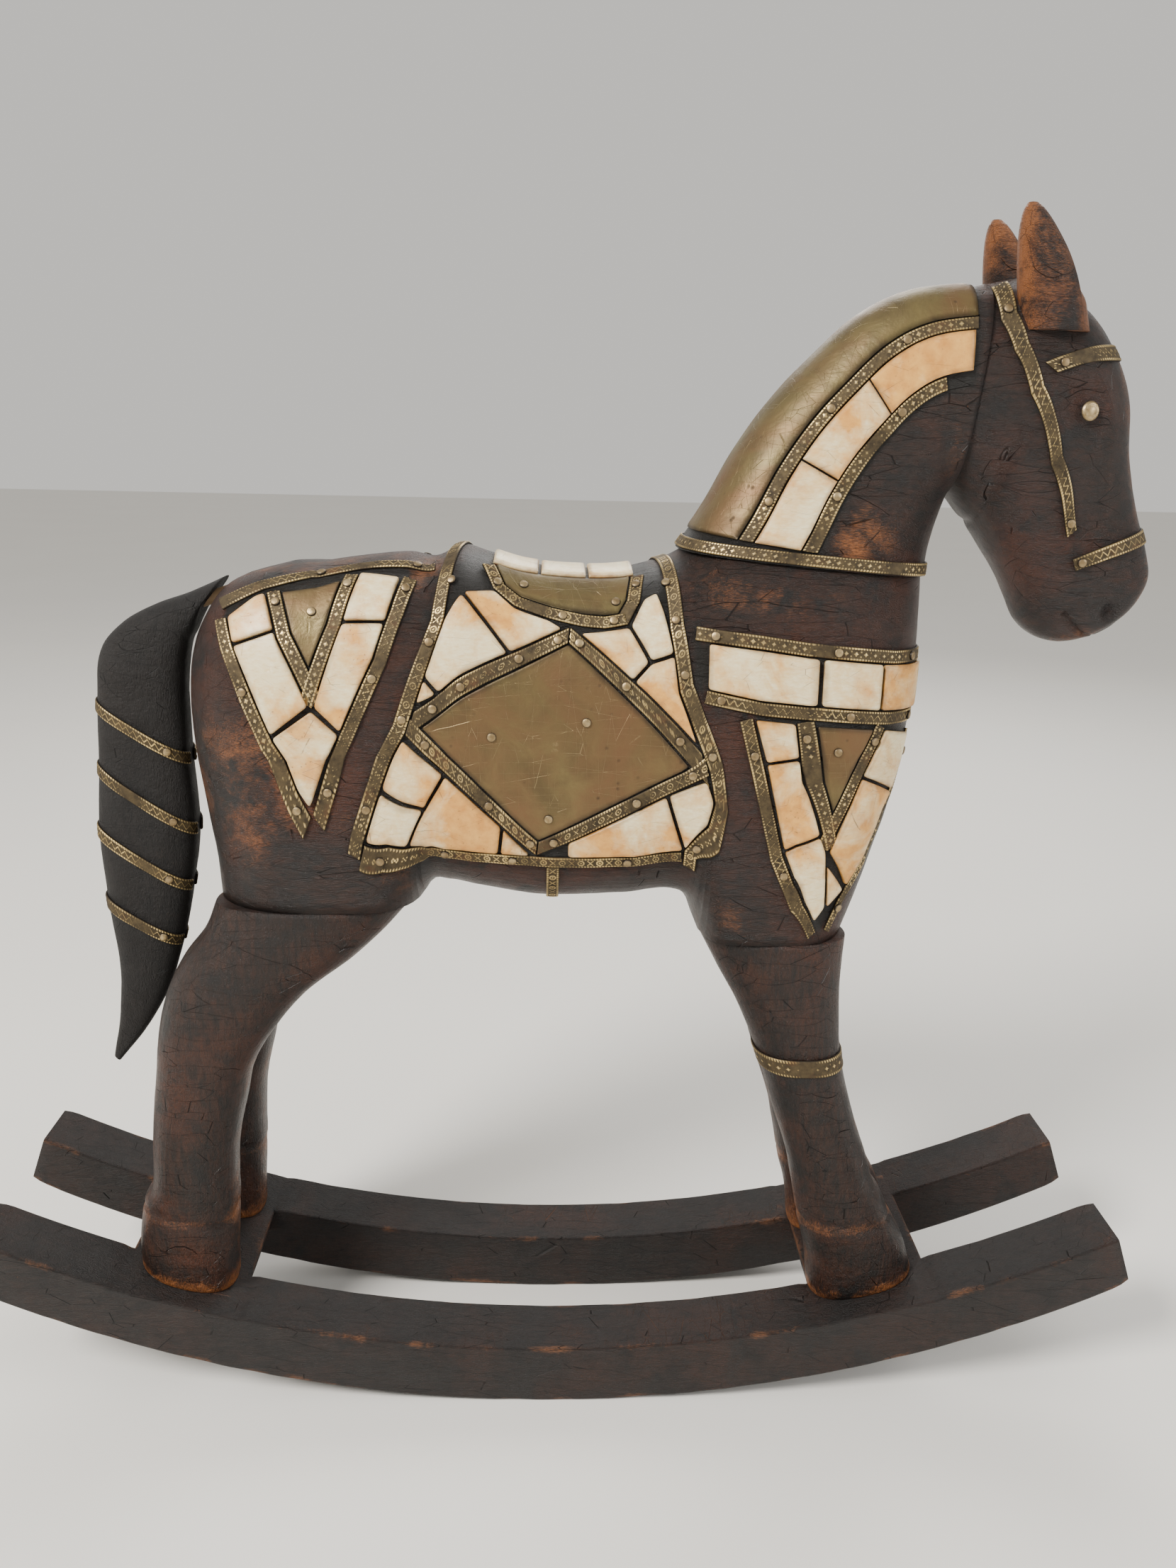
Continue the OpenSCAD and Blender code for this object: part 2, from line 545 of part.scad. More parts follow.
// a bone tile fills a cell, less half a gap all round
module tile(face, cell) inlay(face, inset(cell, even(cell, tile_gap / 2)), bone_t, tile_rings);
module plate(face, cell, d) inlay(face, inset(cell, d), brass_t, plate_rings);
// a plate inside a V of strip
module v_plate(face, v) {
  d = strip_w + tile_gap / 2;
  plate(face, v, [for (i = [0 : last(v)]) i < last(v) ? d : tile_gap / 2]);
}
// the point at a share of a path's length
function share_point(path, f) =
  let(total = [for (i = [0 : last(path) - 1]) norm(path[i + 1] - path[i])],
      sums = [for (i = 0, s = 0; i <= len(total); s = s + (i < len(total) ? total[i] : 0), i = i + 1) s],
      at = f * sums[last(sums)],
      i = min(last(path) - 1, max([for (k = [0 : last(sums)]) if (sums[k] <= at) k])))
  lerp(path[i], path[i + 1], (at - sums[i]) / total[i]);
pin_clear = 0.1;
module pin(face, p) {
  n = normal(face, p);
  translate(lifted(face, p, bed_t + brass_t + pin_clear))
    rotate([0, acos(n[2]), atan2(n[1], n[0])]) cylinder(d = pin_d, h = pin_h, $fn = 24);
}
// pins along the middle of a strip laid beside a path
module strip_pins(face, path, from, shares) {
  p = beside(path, from + strip_w / 2);
  for (f = shares) pin(face, share_point(p, f));
}

// ---------- faces of the left side; the right side mirrors it ----------
girth_r = 42;
degree = PI / 180;
function inside_x(x) = min(torso_front, max(torso_rear, x));
function end_swell(x, z) =
  x > torso_front ? swell((x - torso_front) / (curve(chest_front, z) - torso_front), chest_n) :
  x < torso_rear ? swell((torso_rear - x) / (torso_rear - curve(rump_rear, z)), rump_n) : 1;
// the barrel: x along the horse, v round it from the widest line of the left side
barrel = function (x, v)
  let(m = inside_x(x), a = v / girth_r / degree, zc = curve(widest_line, m), s = sin(a),
      z = zc + s * (s > 0 ? curve(back_line, m) - zc : zc - curve(belly_line, m)))
  [x, sign(cos(a)) * torso_w / 2 * curve(half_width, m) * swell(s, torso_n) * end_swell(x, z), z + belly_z];
function barrel_v(x, z) =
  let(m = inside_x(x), zc = curve(widest_line, m))
  girth_r * degree * asin(min(1, max(-1, (z - zc) /
    (z > zc ? curve(back_line, m) - zc : zc - curve(belly_line, m)))));
function on_barrel(path) = [for (p = path) [p[0], barrel_v(p[0], p[1])]];
over_top = 180 * degree * girth_r;
// the chest: u runs forward along the left side, round the front and back along the right side
front_turn = 58;
mid_u = torso_front + front_turn;
chest = function (u, z)
  let(t = (u - torso_front) * 90 / front_turn, round = t > 0 && t < 180,
      x = round ? torso_front : t > 0 ? 2 * mid_u - u : u,
      y = section_y(x, z))
  [x + (round ? (curve(chest_front, z) - x) * pow(sin(t), 2 / chest_n) : 0),
   (t > 90 ? -1 : 1) * y * (round ? pow(abs(cos(t)), 2 / chest_n) : 1), z + belly_z];
function chest_u(x, z) =
  x <= torso_front ? x :
  torso_front + asin(min(1, pow((x - torso_front) / (curve(chest_front, z) - torso_front), chest_n / 2)))
    * front_turn / 90;
function on_chest(path) = [for (p = path) [chest_u(p[0], p[1]), p[1]]];
// neck, head and tail: s along the piece, b in degrees round it, 90 at the outer edge
neck_round = function (s, b) neck_point(s, 180 - b);
head_round = function (s, b) head_point(s, 180 - b);
tail_round = function (b, s) tail_point(s, 180 - b);
// the cheek in about millimetres, m along the head and h across it
cheek_step = 11;
cheek_half = 27;
cheek = function (m, h) head_point(m / cheek_step, 180 - asin(h / cheek_half));
front_leg_h = belly_z + front_joint - glue_t - seat_z(slat_front_x);
shin = function (a, h)
  let(r = leg_shape(front_leg_rows, slat_front_x, front_joint, front_leg_y, front_hip_y, h / front_leg_h),
      c = (r[1] + r[2]) / 2, w = (r[2] - r[1]) / 2)
  [c + w * sign(cos(a)) * pow(abs(cos(a)), 2 / leg_n),
   r[3] - r[4] * sign(sin(a)) * pow(abs(sin(a)), 2 / leg_n), r[0]];

// ---------- brass and bone ----------
brass = [0.62, 0.54, 0.3];
old_brass = [0.45, 0.38, 0.22];
bone = [0.93, 0.87, 0.74];
module mirrored(side) mirror([0, side, 0]) children();
module both() {
  children();
  mirror([0, 1, 0]) children();
}
// shares of the neck's depth, from -1 at the throat to 1 at the crest
mane_low = 0.68;
neck_bone_top = 0.54;
neck_bone_low = 0.18;
neck_gap = 0.015;
neck_strip_low = 0.04;
// how far the collar's strip rises along the neck: at the sides and more at the crest
collar_s = 0.03;
collar_rise = [9.35, 5.05];
neck_from = collar_s + (strip_w + tile_gap / 2) / (collar_rise[0] + collar_rise[1] * neck_strip_low);
neck_to = 6.75;
neck_low_to = 6.1;
function along(from, to, f, cuts) = [for (i = [0 : cuts]) [lerp(from, to, i / cuts), asin(f)]];
module mane_plate() {
  a = asin(mane_low);
  color(old_brass) band(neck_round,
    [for (s = [neck_from : 0.4 : neck_to]) [s, a]], [for (s = [neck_from : 0.4 : neck_to]) [s, 180 - a]],
    brass_t, 10);
}
module neck_strips(side) {
  color(brass) mirrored(side) {
    band(neck_round, along(neck_from, neck_to, neck_bone_top + neck_gap, 18),
      along(neck_from, neck_to, mane_low - neck_gap, 18));
    band(neck_round, along(neck_from, neck_low_to, neck_strip_low, 16),
      along(neck_from, neck_low_to, neck_bone_low - neck_gap, 16));
  }
}
neck_joints = [neck_from, 2.35, 4.35, neck_to];
neck_joint_gap = 0.05;
module neck_bone(side) {
  color(bone) mirrored(side) for (i = [0 : 2]) {
    from = neck_joints[i];
    to = neck_joints[i + 1] - neck_joint_gap;
    band(neck_round, along(from, to, neck_bone_low, 5), along(from, to, neck_bone_top, 5), bone_t, 3);
  }
}
// the collar hides the joint at the foot of the neck
collar_open = 84;
module neck_collar() {
  b = [for (i = [0 : 36]) lerp(-collar_open, 180 + collar_open, i / 36)];
  color(brass) band(neck_round,
    [for (x = b) [collar_s + strip_w / (collar_rise[0] + collar_rise[1] * sin(x)), x]],
    [for (x = b) [collar_s, x]]);
}
cheek_path = [[2, 25.5], [4, 17], [9, 9.5], [17.6, 2.5], [34.7, -3.5], [57, -4]];
module cheek_straps() color(brass) both() strip(cheek, cheek_path, -strip_w / 2);
// the bands over the brow and the nose: foot angle, place at the middle and its rise to the front
brow = [18, 1.05, 1.95];
nose = [-11, 6.07, 0.53];
function band_point(band, b) = [band[1] + band[2] * sin(b), b];
module head_band(band, cuts) {
  b = [for (i = [0 : cuts]) lerp(band[0], 180 - band[0], i / cuts)];
  h = [strip_w / 2 / cheek_step, 0];
  band(head_round, [for (x = b) band_point(band, x) + h], [for (x = b) band_point(band, x) - h]);
}
module browband() color(brass) head_band(brow, 20);
module noseband() color(brass) head_band(nose, 22);
eye_at = [3, 20.7];
eye_h = 1.4;
module eye_studs() {
  r = (eye_d * eye_d / 4 + eye_h * eye_h) / 2 / eye_h;
  n = normal(head_round, eye_at);
  color(brass) both() translate(lifted(head_round, eye_at, bed_t)) rotate([0, acos(n[2]), atan2(n[1], n[0])])
    intersection() {
      cylinder(d = eye_d, h = eye_h, $fn = 36);
      translate([0, 0, eye_h - r]) sphere(r = r, $fn = 48);
    }
}

// the two chest straps and the tiles between them, left side forward to the middle
function round_chest(path) =
  concat(path, [for (i = [last(path) - 1 : -1 : 0]) [2 * mid_u - path[i][0], path[i][1]]]);
strap_upper = [[37.5, 85.5], [56, 83.5], [74, 81], [95, 79], [mid_u, 78]];
strap_lower = [[40.5, 68], [57, 64.7], [78, 62.7], [95, 61.2], [mid_u, 60]];
module chest_strap_upper() color(brass) strip(chest, round_chest(strap_upper));
module chest_strap_lower() color(brass) strip(chest, round_chest(strap_lower));
chest_cuts = [41, 72, 90, 114];
function row_cell(from, to) =
  let(mid = (from + to) / 2)
  [for (u = [from, mid, to]) [u, straight(strap_lower, min(u, 2 * mid_u - u)) + strip_w],
   for (u = [to, mid, from]) [u, straight(strap_upper, min(u, 2 * mid_u - u))]];
module chest_bone() {
  color(bone) {
    both() for (i = [0 : 2]) tile(chest, row_cell(chest_cuts[i], chest_cuts[i + 1]));
    tile(chest, row_cell(chest_cuts[3], 2 * mid_u - chest_cuts[3]));
  }
}

// the shoulder: an outer V of strip, an inner V of strip, a brass plate and tiles between
shoulder_rear_edge = on_chest([[54.5, 64], [59, 48], [66, 22], [73.5, 6], [78, -3]]);
shoulder_front_edge = on_chest([[81, -3], [84.5, 7], [91, 18.5], [96.5, 35], [101.5, 46.5], [103.5, 58]]);
shoulder_v = on_chest([[67.5, 62.5], [71.5, 44], [79, 23.5], [88, 46], [94, 60.3]]);
shoulder_tiles = [
  [[54.8, 64], [59, 50.5], [69.2, 52], [67.3, 62.7]],
  [[59, 50.5], [66, 23.5], [77, 28.5], [71.5, 44], [69.2, 52]],
  [[66, 23.5], [73.5, 7], [77, 0], [80, 5], [79, 23.5], [77, 28.5]],
  [[94.2, 60.2], [88, 46], [98.7, 40], [101.4, 47], [103.2, 57.6]],
  [[88, 46], [79.6, 23], [86, 11], [91, 19.5], [96.3, 35], [98.7, 40]],
  [[79, 20], [80.3, 4.5], [85.5, 10.5]]];
module shoulder_strips(side) {
  color(brass) mirrored(side) {
    strip(chest, shoulder_rear_edge, -strip_w);
    strip(chest, shoulder_front_edge, -strip_w);
    strip(chest, shoulder_v);
  }
}
module shoulder_plate(side) color(old_brass) mirrored(side) v_plate(chest, shoulder_v);
module shoulder_bone(side) color(bone) mirrored(side) for (t = shoulder_tiles) tile(chest, on_chest(t));

// the saddle: borders over the back, a diamond of strip, a brass plate and tiles round it
saddle_rear_edge = [[-27, 104.5], [-33.5, 90], [-39, 74.5], [-44.5, 58.5], [-52, 41.5], [-57.5, 25],
  [-58.5, 20]];
saddle_front_edge = [[37, 18], [37, 23], [43.5, 31], [45, 38.5], [43, 48], [38, 60], [33.5, 71], [30.5, 88],
  [26.5, 102]];
saddle_low_edge = [[-57, 24.5], [-50, 23.8], [-44, 23.2], [-39, 22.7], [-33, 22.1], [-27.5, 21.5],
  [-9, 20.5], [10.5, 20], [22.5, 20.5], [36, 22.4]];
function arch(path) =
  let(p = on_barrel(path))
  concat(p, [for (i = [last(p) : -1 : 0]) [p[i][0], over_top - p[i][1]]]);
function reversed(path) = [for (i = [last(path) : -1 : 0]) path[i]];
module saddle_border() {
  color(brass) {
    strip(barrel, arch(reversed(saddle_rear_edge)));
    strip(barrel, arch(saddle_front_edge), -strip_w);
    both() strip(barrel, on_barrel(saddle_low_edge), -strip_w);
  }
}
diamond_top = [2, 88];
diamond_rear = [[-42, 64.5], [-44.6, 58]];
diamond_low = [-7, 20.8];
diamond_front = [[42.9, 47], [40.5, 53.2]];
diamond_turn = diamond_rear[1] - diamond_rear[0];
diamond_end = diamond_front[1] - diamond_front[0];
function across(a, b, c) = left_of(unit(b - a)) + left_of(unit(c - b));
function to_barrel(p) = on_barrel([p])[0];
// where the line from a to b meets the line from c to d
function meet(a, b, c, d) = a + (b - a) * cross(c - a, d - c) / cross(b - a, d - c);
module diamond_strips(side) {
  t = to_barrel(diamond_top);
  r = [for (p = diamond_rear) to_barrel(p)];
  l = to_barrel(diamond_low);
  f = [for (p = diamond_front) to_barrel(p)];
  top = across(f[1], t, r[0]);
  low = across(r[1], l, f[0]);
  color(brass) mirrored(side) {
    cut_strip(barrel, t, r[0], top, diamond_turn);
    cut_strip(barrel, r[1], l, -diamond_turn, low);
    cut_strip(barrel, l, f[0], low, diamond_end);
    cut_strip(barrel, f[1], t, -diamond_end, top);
  }
}
module saddle_plate(side) {
  d = strip_w + tile_gap / 2;
  t = to_barrel(diamond_top);
  l = to_barrel(diamond_low);
  r = on_barrel(diamond_rear);
  f = on_barrel(diamond_front);
  color(old_brass) mirrored(side) plate(barrel, [t, meet(t, r[0], r[1], l), l, meet(l, f[0], f[1], t)], [d, d, d, d]);
}
saddle_tiles = [
  [[-39.3, 74.3], [-35, 69.5], [-15, 80.8], [-29, 97], [-33.5, 90]],
  [[-15, 80.8], [0.5, 87.5], [-4, 89.8], [-14, 93], [-20, 97.5], [-29, 97.3]],
  [[-39.3, 74.3], [-42, 66], [-35, 69.5]],
  [[-45.4, 57], [-52, 41.5], [-39.5, 35.5], [-33.5, 46.3]],
  [[-52, 41.5], [-57.3, 25], [-51, 24.1], [-45, 23.4], [-39.5, 35.5]],
  [[-39.5, 35.5], [-45, 23.4], [-40, 22.9], [-34, 22.3], [-18, 21], [-17, 30.3], [-33.5, 46.3]],
  [[-17, 30.3], [-18, 21], [-8, 20.6]],
  [[19, 88.4], [25, 79], [32, 81.5], [29, 93], [27, 97.5], [23, 95.5]],
  [[4, 86.6], [20, 73.5], [25, 79], [19, 88.4], [12, 87.3]],
  [[20, 73.5], [40.1, 53.8], [33.5, 71], [32, 81.5], [25, 79]],
  [[2, 25.2], [2, 20.2], [22.5, 20.7], [37, 23], [31, 40.8]],
  [[31, 40.8], [37, 23], [43.5, 31], [45, 38.5], [42.4, 45.6]]];
module saddle_bone(side) color(bone) mirrored(side) for (t = saddle_tiles) tile(barrel, on_barrel(t));
flap_edge = [[-23.5, 104], [-20, 98], [-14, 93.5], [-4, 90.2], [5, 88.3], [12, 87.8], [18.5, 89],
  [22, 95], [23.5, 101.5]];
flap_top = 75;
module flap_strip(side) color(brass) mirrored(side) strip(barrel, on_barrel(flap_edge));
module saddle_flap(side) {
  p = lengthen(on_barrel(flap_edge));
  low = beside(p, strip_w + tile_gap / 2);
  top = flap_top * degree * girth_r;
  keep = [for (q = low) if (q[1] < top - 1) q];
  color(old_brass) mirrored(side) band(barrel, keep, [for (q = keep) [q[0], top]], brass_t, 3);
}
seat_cuts = [-21, -7, 7, 21];
seat_gap = 0.8;
module seat_bone() {
  low = flap_top * degree * girth_r + seat_gap;
  color(bone) for (i = [0 : 2]) {
    x = [for (k = [0 : 3]) lerp(seat_cuts[i] + tile_gap / 2, seat_cuts[i + 1] - tile_gap / 2, k / 3)];
    band(barrel, [for (q = x) [q, low]], [for (q = x) [q, over_top - low]], bone_t, 5);
  }
}
girth_x = -2;
module girth_strap() {
  low = barrel_v(girth_x, straight(saddle_low_edge, girth_x)) - strip_w - tile_gap / 2;
  half = PI / 2 * girth_r;
  color(brass) strip(barrel, [[girth_x, -2 * half - low], [girth_x, low]], -strip_w / 2);
}

// the haunch: a strip along the top, a V of strip, an inner V round a plate, and tiles
haunch_top_edge = on_barrel([[-97, 90.5], [-85, 96.3], [-72, 99.5], [-58, 102], [-46, 102.8], [-37, 102.2]]);
haunch_rear_edge = on_barrel(
  [[-95.5, 88.5], [-93, 81.5], [-87.5, 68.5], [-82, 55.5], [-75.5, 40.5], [-72, 33]]);
haunch_front_edge = on_barrel(
  [[-71.3, 34], [-66, 50.5], [-59.5, 65], [-53, 79], [-48.5, 92], [-45.5, 100.5]]);
haunch_v = on_barrel([[-84, 95.5], [-80, 84], [-70.5, 65], [-62.5, 87.5], [-58.5, 100.5]]);
haunch_tiles = [
  [[-95, 88.7], [-93, 81.5], [-80.7, 86], [-84.2, 95.5], [-87, 94.6]],
  [[-93, 81.5], [-82.4, 56.5], [-70.9, 65.5], [-80, 84], [-80.7, 86]],
  [[-58, 101], [-62.2, 88.5], [-49.7, 88.8], [-46, 100.2]],
  [[-62.2, 88.5], [-70.3, 65.3], [-62.7, 57.7], [-53, 79], [-49.7, 88.8]],
  [[-70.6, 65], [-82.4, 56.5], [-75.5, 40.5], [-72, 34.5], [-66, 51], [-62.7, 57.7]]];
module haunch_strips(side) {
  color(brass) mirrored(side) {
    strip(barrel, haunch_top_edge);
    strip(barrel, haunch_rear_edge, -strip_w);
    strip(barrel, haunch_front_edge, -strip_w);
    strip(barrel, haunch_v);
  }
}
module haunch_plate(side) color(old_brass) mirrored(side) v_plate(barrel, haunch_v);
module haunch_bone(side) color(bone) mirrored(side) for (t = haunch_tiles) tile(barrel, on_barrel(t));

// each of these bands goes once round, all but a small gap on the inner side
leg_band_h = 85;
leg_band_w = 6;
leg_band_ends = [-262, 82];
module leg_bands() {
  a = [for (i = [0 : 28]) lerp(leg_band_ends[0], leg_band_ends[1], i / 28)];
  color(brass) both() band(shin, [for (x = a) [x, leg_band_h - leg_band_w / 2]],
    [for (x = a) [x, leg_band_h + leg_band_w / 2]]);
}
tail_band_s = [5, 6, 7, 8];
tail_band_ends = [-84, 260];
tail_step = 20;
module tail_bands() {
  b = [for (i = [0 : 22]) lerp(tail_band_ends[0], tail_band_ends[1], i / 22)];
  h = strip_w / 2 / tail_step;
  color(brass) for (s = tail_band_s) band(tail_round, [for (x = b) [x, s - h]], [for (x = b) [x, s + h]]);
}
band_pin_turn = 6;
module brass_pins() {
  color(brass) both() {
    strip_pins(barrel, on_barrel(saddle_rear_edge), -strip_w, [0.12, 0.36, 0.64, 0.9]);
    strip_pins(barrel, on_barrel(saddle_front_edge), -strip_w, [0.1, 0.4, 0.62, 0.78, 0.93]);
    strip_pins(barrel, on_barrel(saddle_low_edge), -strip_w, [0.06, 0.3, 0.5, 0.84]);
    strip_pins(barrel, on_barrel([diamond_top, diamond_rear[0]]), 0, [0.1, 0.35, 0.72, 0.9]);
    strip_pins(barrel, on_barrel([diamond_rear[1], diamond_low]), 0, [0.12, 0.6, 0.92]);
    strip_pins(barrel, on_barrel([diamond_low, diamond_front[0]]), 0, [0.12, 0.6, 0.92]);
    strip_pins(barrel, on_barrel([diamond_front[1], diamond_top]), 0, [0.14, 0.55, 0.9]);
    strip_pins(barrel, on_barrel(flap_edge), 0, [0.12, 0.45, 0.68, 0.93]);
    for (p = [[-11.5, 98.5], [15, 94.5], [-20, 57.5], [7, 62], [-3.5, 33]]) pin(barrel, to_barrel(p));
    strip_pins(chest, strap_upper, 0, [0.06, 0.42, 0.75]);
    strip_pins(chest, strap_lower, 0, [0.05, 0.45, 0.78]);
    strip_pins(chest, shoulder_rear_edge, -strip_w, [0.15, 0.68]);
    strip_pins(chest, shoulder_front_edge, -strip_w, [0.12, 0.9]);
    strip_pins(chest, shoulder_v, 0, [0.07, 0.93]);
    pin(chest, on_chest([[80, 54]])[0]);
    strip_pins(barrel, haunch_top_edge, 0, [0.5, 0.92]);
    strip_pins(barrel, haunch_rear_edge, -strip_w, [0.4, 0.93]);
    strip_pins(barrel, haunch_front_edge, -strip_w, [0.08, 0.5, 0.93]);
    strip_pins(barrel, haunch_v, 0, [0.06, 0.94]);
    pin(barrel, to_barrel([-70.8, 91]));
    for (s = [2, 4.6]) pin(neck_round, [s, asin((neck_bone_low + neck_strip_low) / 2)]);
    for (s = [1.4, 3.4, 5.4]) pin(neck_round, [s, asin((neck_bone_top + mane_low) / 2)]);
    for (s = tail_band_s) pin(tail_round, [-38, s]);
    strip_pins(cheek, cheek_path, -strip_w / 2, [0.1, 0.96]);
    for (band = [brow, nose]) pin(head_round, band_point(band, band[0] + band_pin_turn));
  }
}

torso();
neck();
head();
leg_front_right();
leg_front_left();
leg_rear_right();
leg_rear_left();
tail();
rocker_right();
rocker_left();
cross_slat_front();
cross_slat_rear();
neck_dowel();
head_dowel();
tail_peg();
leg_dowels();
hoof_pegs();
slat_nails();
mane_plate();
neck_strips(1);  // neck_strips_right
neck_strips(0);  // neck_strips_left
neck_bone(1);  // neck_bone_right
neck_bone(0);  // neck_bone_left
neck_collar();
cheek_straps();
browband();
noseband();
eye_studs();
chest_strap_upper();
chest_strap_lower();
chest_bone();
shoulder_plate(1);  // shoulder_plate_right
shoulder_plate(0);  // shoulder_plate_left
shoulder_bone(1);  // shoulder_bone_right
shoulder_bone(0);  // shoulder_bone_left
shoulder_strips(1);  // shoulder_strips_right
shoulder_strips(0);  // shoulder_strips_left
saddle_plate(1);  // saddle_plate_right
saddle_plate(0);  // saddle_plate_left
saddle_bone(1);  // saddle_bone_right
saddle_bone(0);  // saddle_bone_left
diamond_strips(1);  // diamond_strips_right
diamond_strips(0);  // diamond_strips_left
saddle_border();
saddle_flap(1);  // saddle_flap_right
saddle_flap(0);  // saddle_flap_left
flap_strip(1);  // flap_strip_right
flap_strip(0);  // flap_strip_left
seat_bone();
girth_strap();
haunch_plate(1);  // haunch_plate_right
haunch_plate(0);  // haunch_plate_left
haunch_bone(1);  // haunch_bone_right
haunch_bone(0);  // haunch_bone_left
haunch_strips(1);  // haunch_strips_right
haunch_strips(0);  // haunch_strips_left
leg_bands();
tail_bands();
brass_pins();
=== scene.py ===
"""Looks of the rocking horse: carved dark wood, tarnished brass and bone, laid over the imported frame."""

import math

import bpy
import numpy as np
from mathutils import Matrix, Vector, noise


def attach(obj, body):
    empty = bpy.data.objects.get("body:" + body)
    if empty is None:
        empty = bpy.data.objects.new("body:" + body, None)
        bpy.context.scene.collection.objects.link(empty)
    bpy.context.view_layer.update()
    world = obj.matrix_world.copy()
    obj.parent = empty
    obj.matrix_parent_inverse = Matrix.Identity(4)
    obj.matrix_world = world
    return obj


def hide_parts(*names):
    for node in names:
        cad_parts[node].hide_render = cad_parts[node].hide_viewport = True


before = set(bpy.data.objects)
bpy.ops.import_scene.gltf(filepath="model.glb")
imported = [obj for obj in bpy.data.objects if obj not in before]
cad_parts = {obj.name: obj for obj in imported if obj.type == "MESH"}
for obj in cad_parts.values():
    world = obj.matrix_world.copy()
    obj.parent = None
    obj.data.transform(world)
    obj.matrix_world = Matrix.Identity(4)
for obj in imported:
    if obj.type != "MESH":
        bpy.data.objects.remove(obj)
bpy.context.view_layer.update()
MM = 0.001
BODY = "root"


# ---------- sizes shared with the frame, in millimetres ----------
BELLY_Z = 170
TORSO_W = 67
NECK_W = 51
HEAD_W = 37
TAIL_W = 17
LEG_W = 25
STRIP_W = 3.8
BRASS_T = 0.5
BONE_T = 1.1
BED_T = 0.3
TILE_GAP = 1.0
PIN_D = 2.7
PIN_SIDES = 20
EYE_D = 5.6
EYE_H = 1.4


# ---------- curves through stations ----------
def curve(table, x, c=1):
    t = np.array(table, float)
    xs, v = t[:, 0], t[:, c]
    n = len(xs)
    a = np.maximum(np.arange(n) - 1, 0)
    b = np.minimum(np.arange(n) + 1, n - 1)
    m = (v[b] - v[a]) / (xs[b] - xs[a])
    x = np.clip(x, xs[0], xs[-1])
    i = np.clip(np.searchsorted(xs, x, "right") - 1, 0, n - 2)
    h = xs[i + 1] - xs[i]
    u = (x - xs[i]) / h
    return (v[i] * (1 + 2 * u) * (1 - u) ** 2 + m[i] * h * u * (1 - u) ** 2
            + v[i + 1] * u * u * (3 - 2 * u) - m[i + 1] * h * u * u * (1 - u))


def straight(table, x):
    t = np.array(table, float)
    return np.interp(x, t[:, 0], t[:, 1])


def swell(f, n):
    return np.maximum(0, 1 - np.abs(f) ** n) ** (1 / n)


def spower(v, p):
    return np.sign(v) * np.abs(v) ** p


# ---------- torso ----------
BACK = [[-78, 101.5], [-70, 103], [-58, 105], [-46, 106], [-38, 105], [-30, 108.5], [-24, 107],
        [-12, 103.5], [4, 102], [18, 102.5], [26, 104.5], [31, 106], [36, 108.8], [40, 112],
        [50, 120], [70, 124], [110, 124]]
BELLY = [[-70, -50], [-58, -42], [-47, -12], [-40, 4], [-34, 5], [-24, 3], [-5, 0], [20, 1], [36, 2.5],
         [42, -4], [50, -40], [60, -58], [70, -60], [110, -60]]
WIDEST = [[-70, 50], [-40, 52], [0, 50], [40, 48], [70, 48]]
HALF_WIDTH = [[-70, 1], [-45, 0.985], [-15, 0.97], [10, 0.965], [35, 0.975], [55, 0.97], [70, 0.945]]
CHEST_FRONT = [[-8, 91], [6, 95.5], [20, 99.5], [31, 102.5], [46, 105], [64, 107], [80, 107.5], [104, 107]]
RUMP_REAR = [[2, -106], [15, -106.5], [30, -108.5], [51, -111], [69, -111], [80, -109], [88, -105.5],
             [95, -100.5], [99, -94], [103, -80]]
TORSO_FRONT, TORSO_REAR = 70, -70
TORSO_N, CHEST_N, RUMP_N = 2.6, 2.5, 2.7
FRONT_JOINT, REAR_JOINT = -8, 2
COLLAR_REAR, COLLAR_FRONT = (34, 109), (107.5, 102.75)
COLLAR_SLOPE = (COLLAR_FRONT[1] - COLLAR_REAR[1]) / (COLLAR_FRONT[0] - COLLAR_REAR[0])


def section_y(x, z):
    w = TORSO_W / 2 * curve(HALF_WIDTH, x)
    zc = curve(WIDEST, x)
    up, down = curve(BACK, x) - zc, zc - curve(BELLY, x)
    return w * swell(np.where(z > zc, (z - zc) / up, (zc - z) / down), TORSO_N)


def end_swell(x, z):
    front = (x - TORSO_FRONT) / (curve(CHEST_FRONT, z) - TORSO_FRONT)
    rear = (TORSO_REAR - x) / (TORSO_REAR - curve(RUMP_REAR, z))
    return np.where(x > TORSO_FRONT, swell(np.clip(front, 0, 1), CHEST_N),
                    np.where(x < TORSO_REAR, swell(np.clip(rear, 0, 1), RUMP_N), 1.0))


GIRTH_R = 42
OVER_TOP = math.pi * GIRTH_R


def barrel(x, v):
    m = np.clip(x, TORSO_REAR, TORSO_FRONT)
    a = v / GIRTH_R
    zc, s = curve(WIDEST, m), np.sin(a)
    z = zc + s * np.where(s > 0, curve(BACK, m) - zc, zc - curve(BELLY, m))
    y = np.sign(np.cos(a)) * TORSO_W / 2 * curve(HALF_WIDTH, m) * swell(s, TORSO_N) * end_swell(x, z)
    return np.stack([x + 0 * z, y, z + BELLY_Z], -1)


def on_barrel(path):
    p = np.array(path, float)
    m = np.clip(p[:, 0], TORSO_REAR, TORSO_FRONT)
    zc = curve(WIDEST, m)
    part = (p[:, 1] - zc) / np.where(p[:, 1] > zc, curve(BACK, m) - zc, zc - curve(BELLY, m))
    return np.stack([p[:, 0], GIRTH_R * np.arcsin(np.clip(part, -1, 1))], -1)


FRONT_TURN = 58
MID_U = TORSO_FRONT + FRONT_TURN


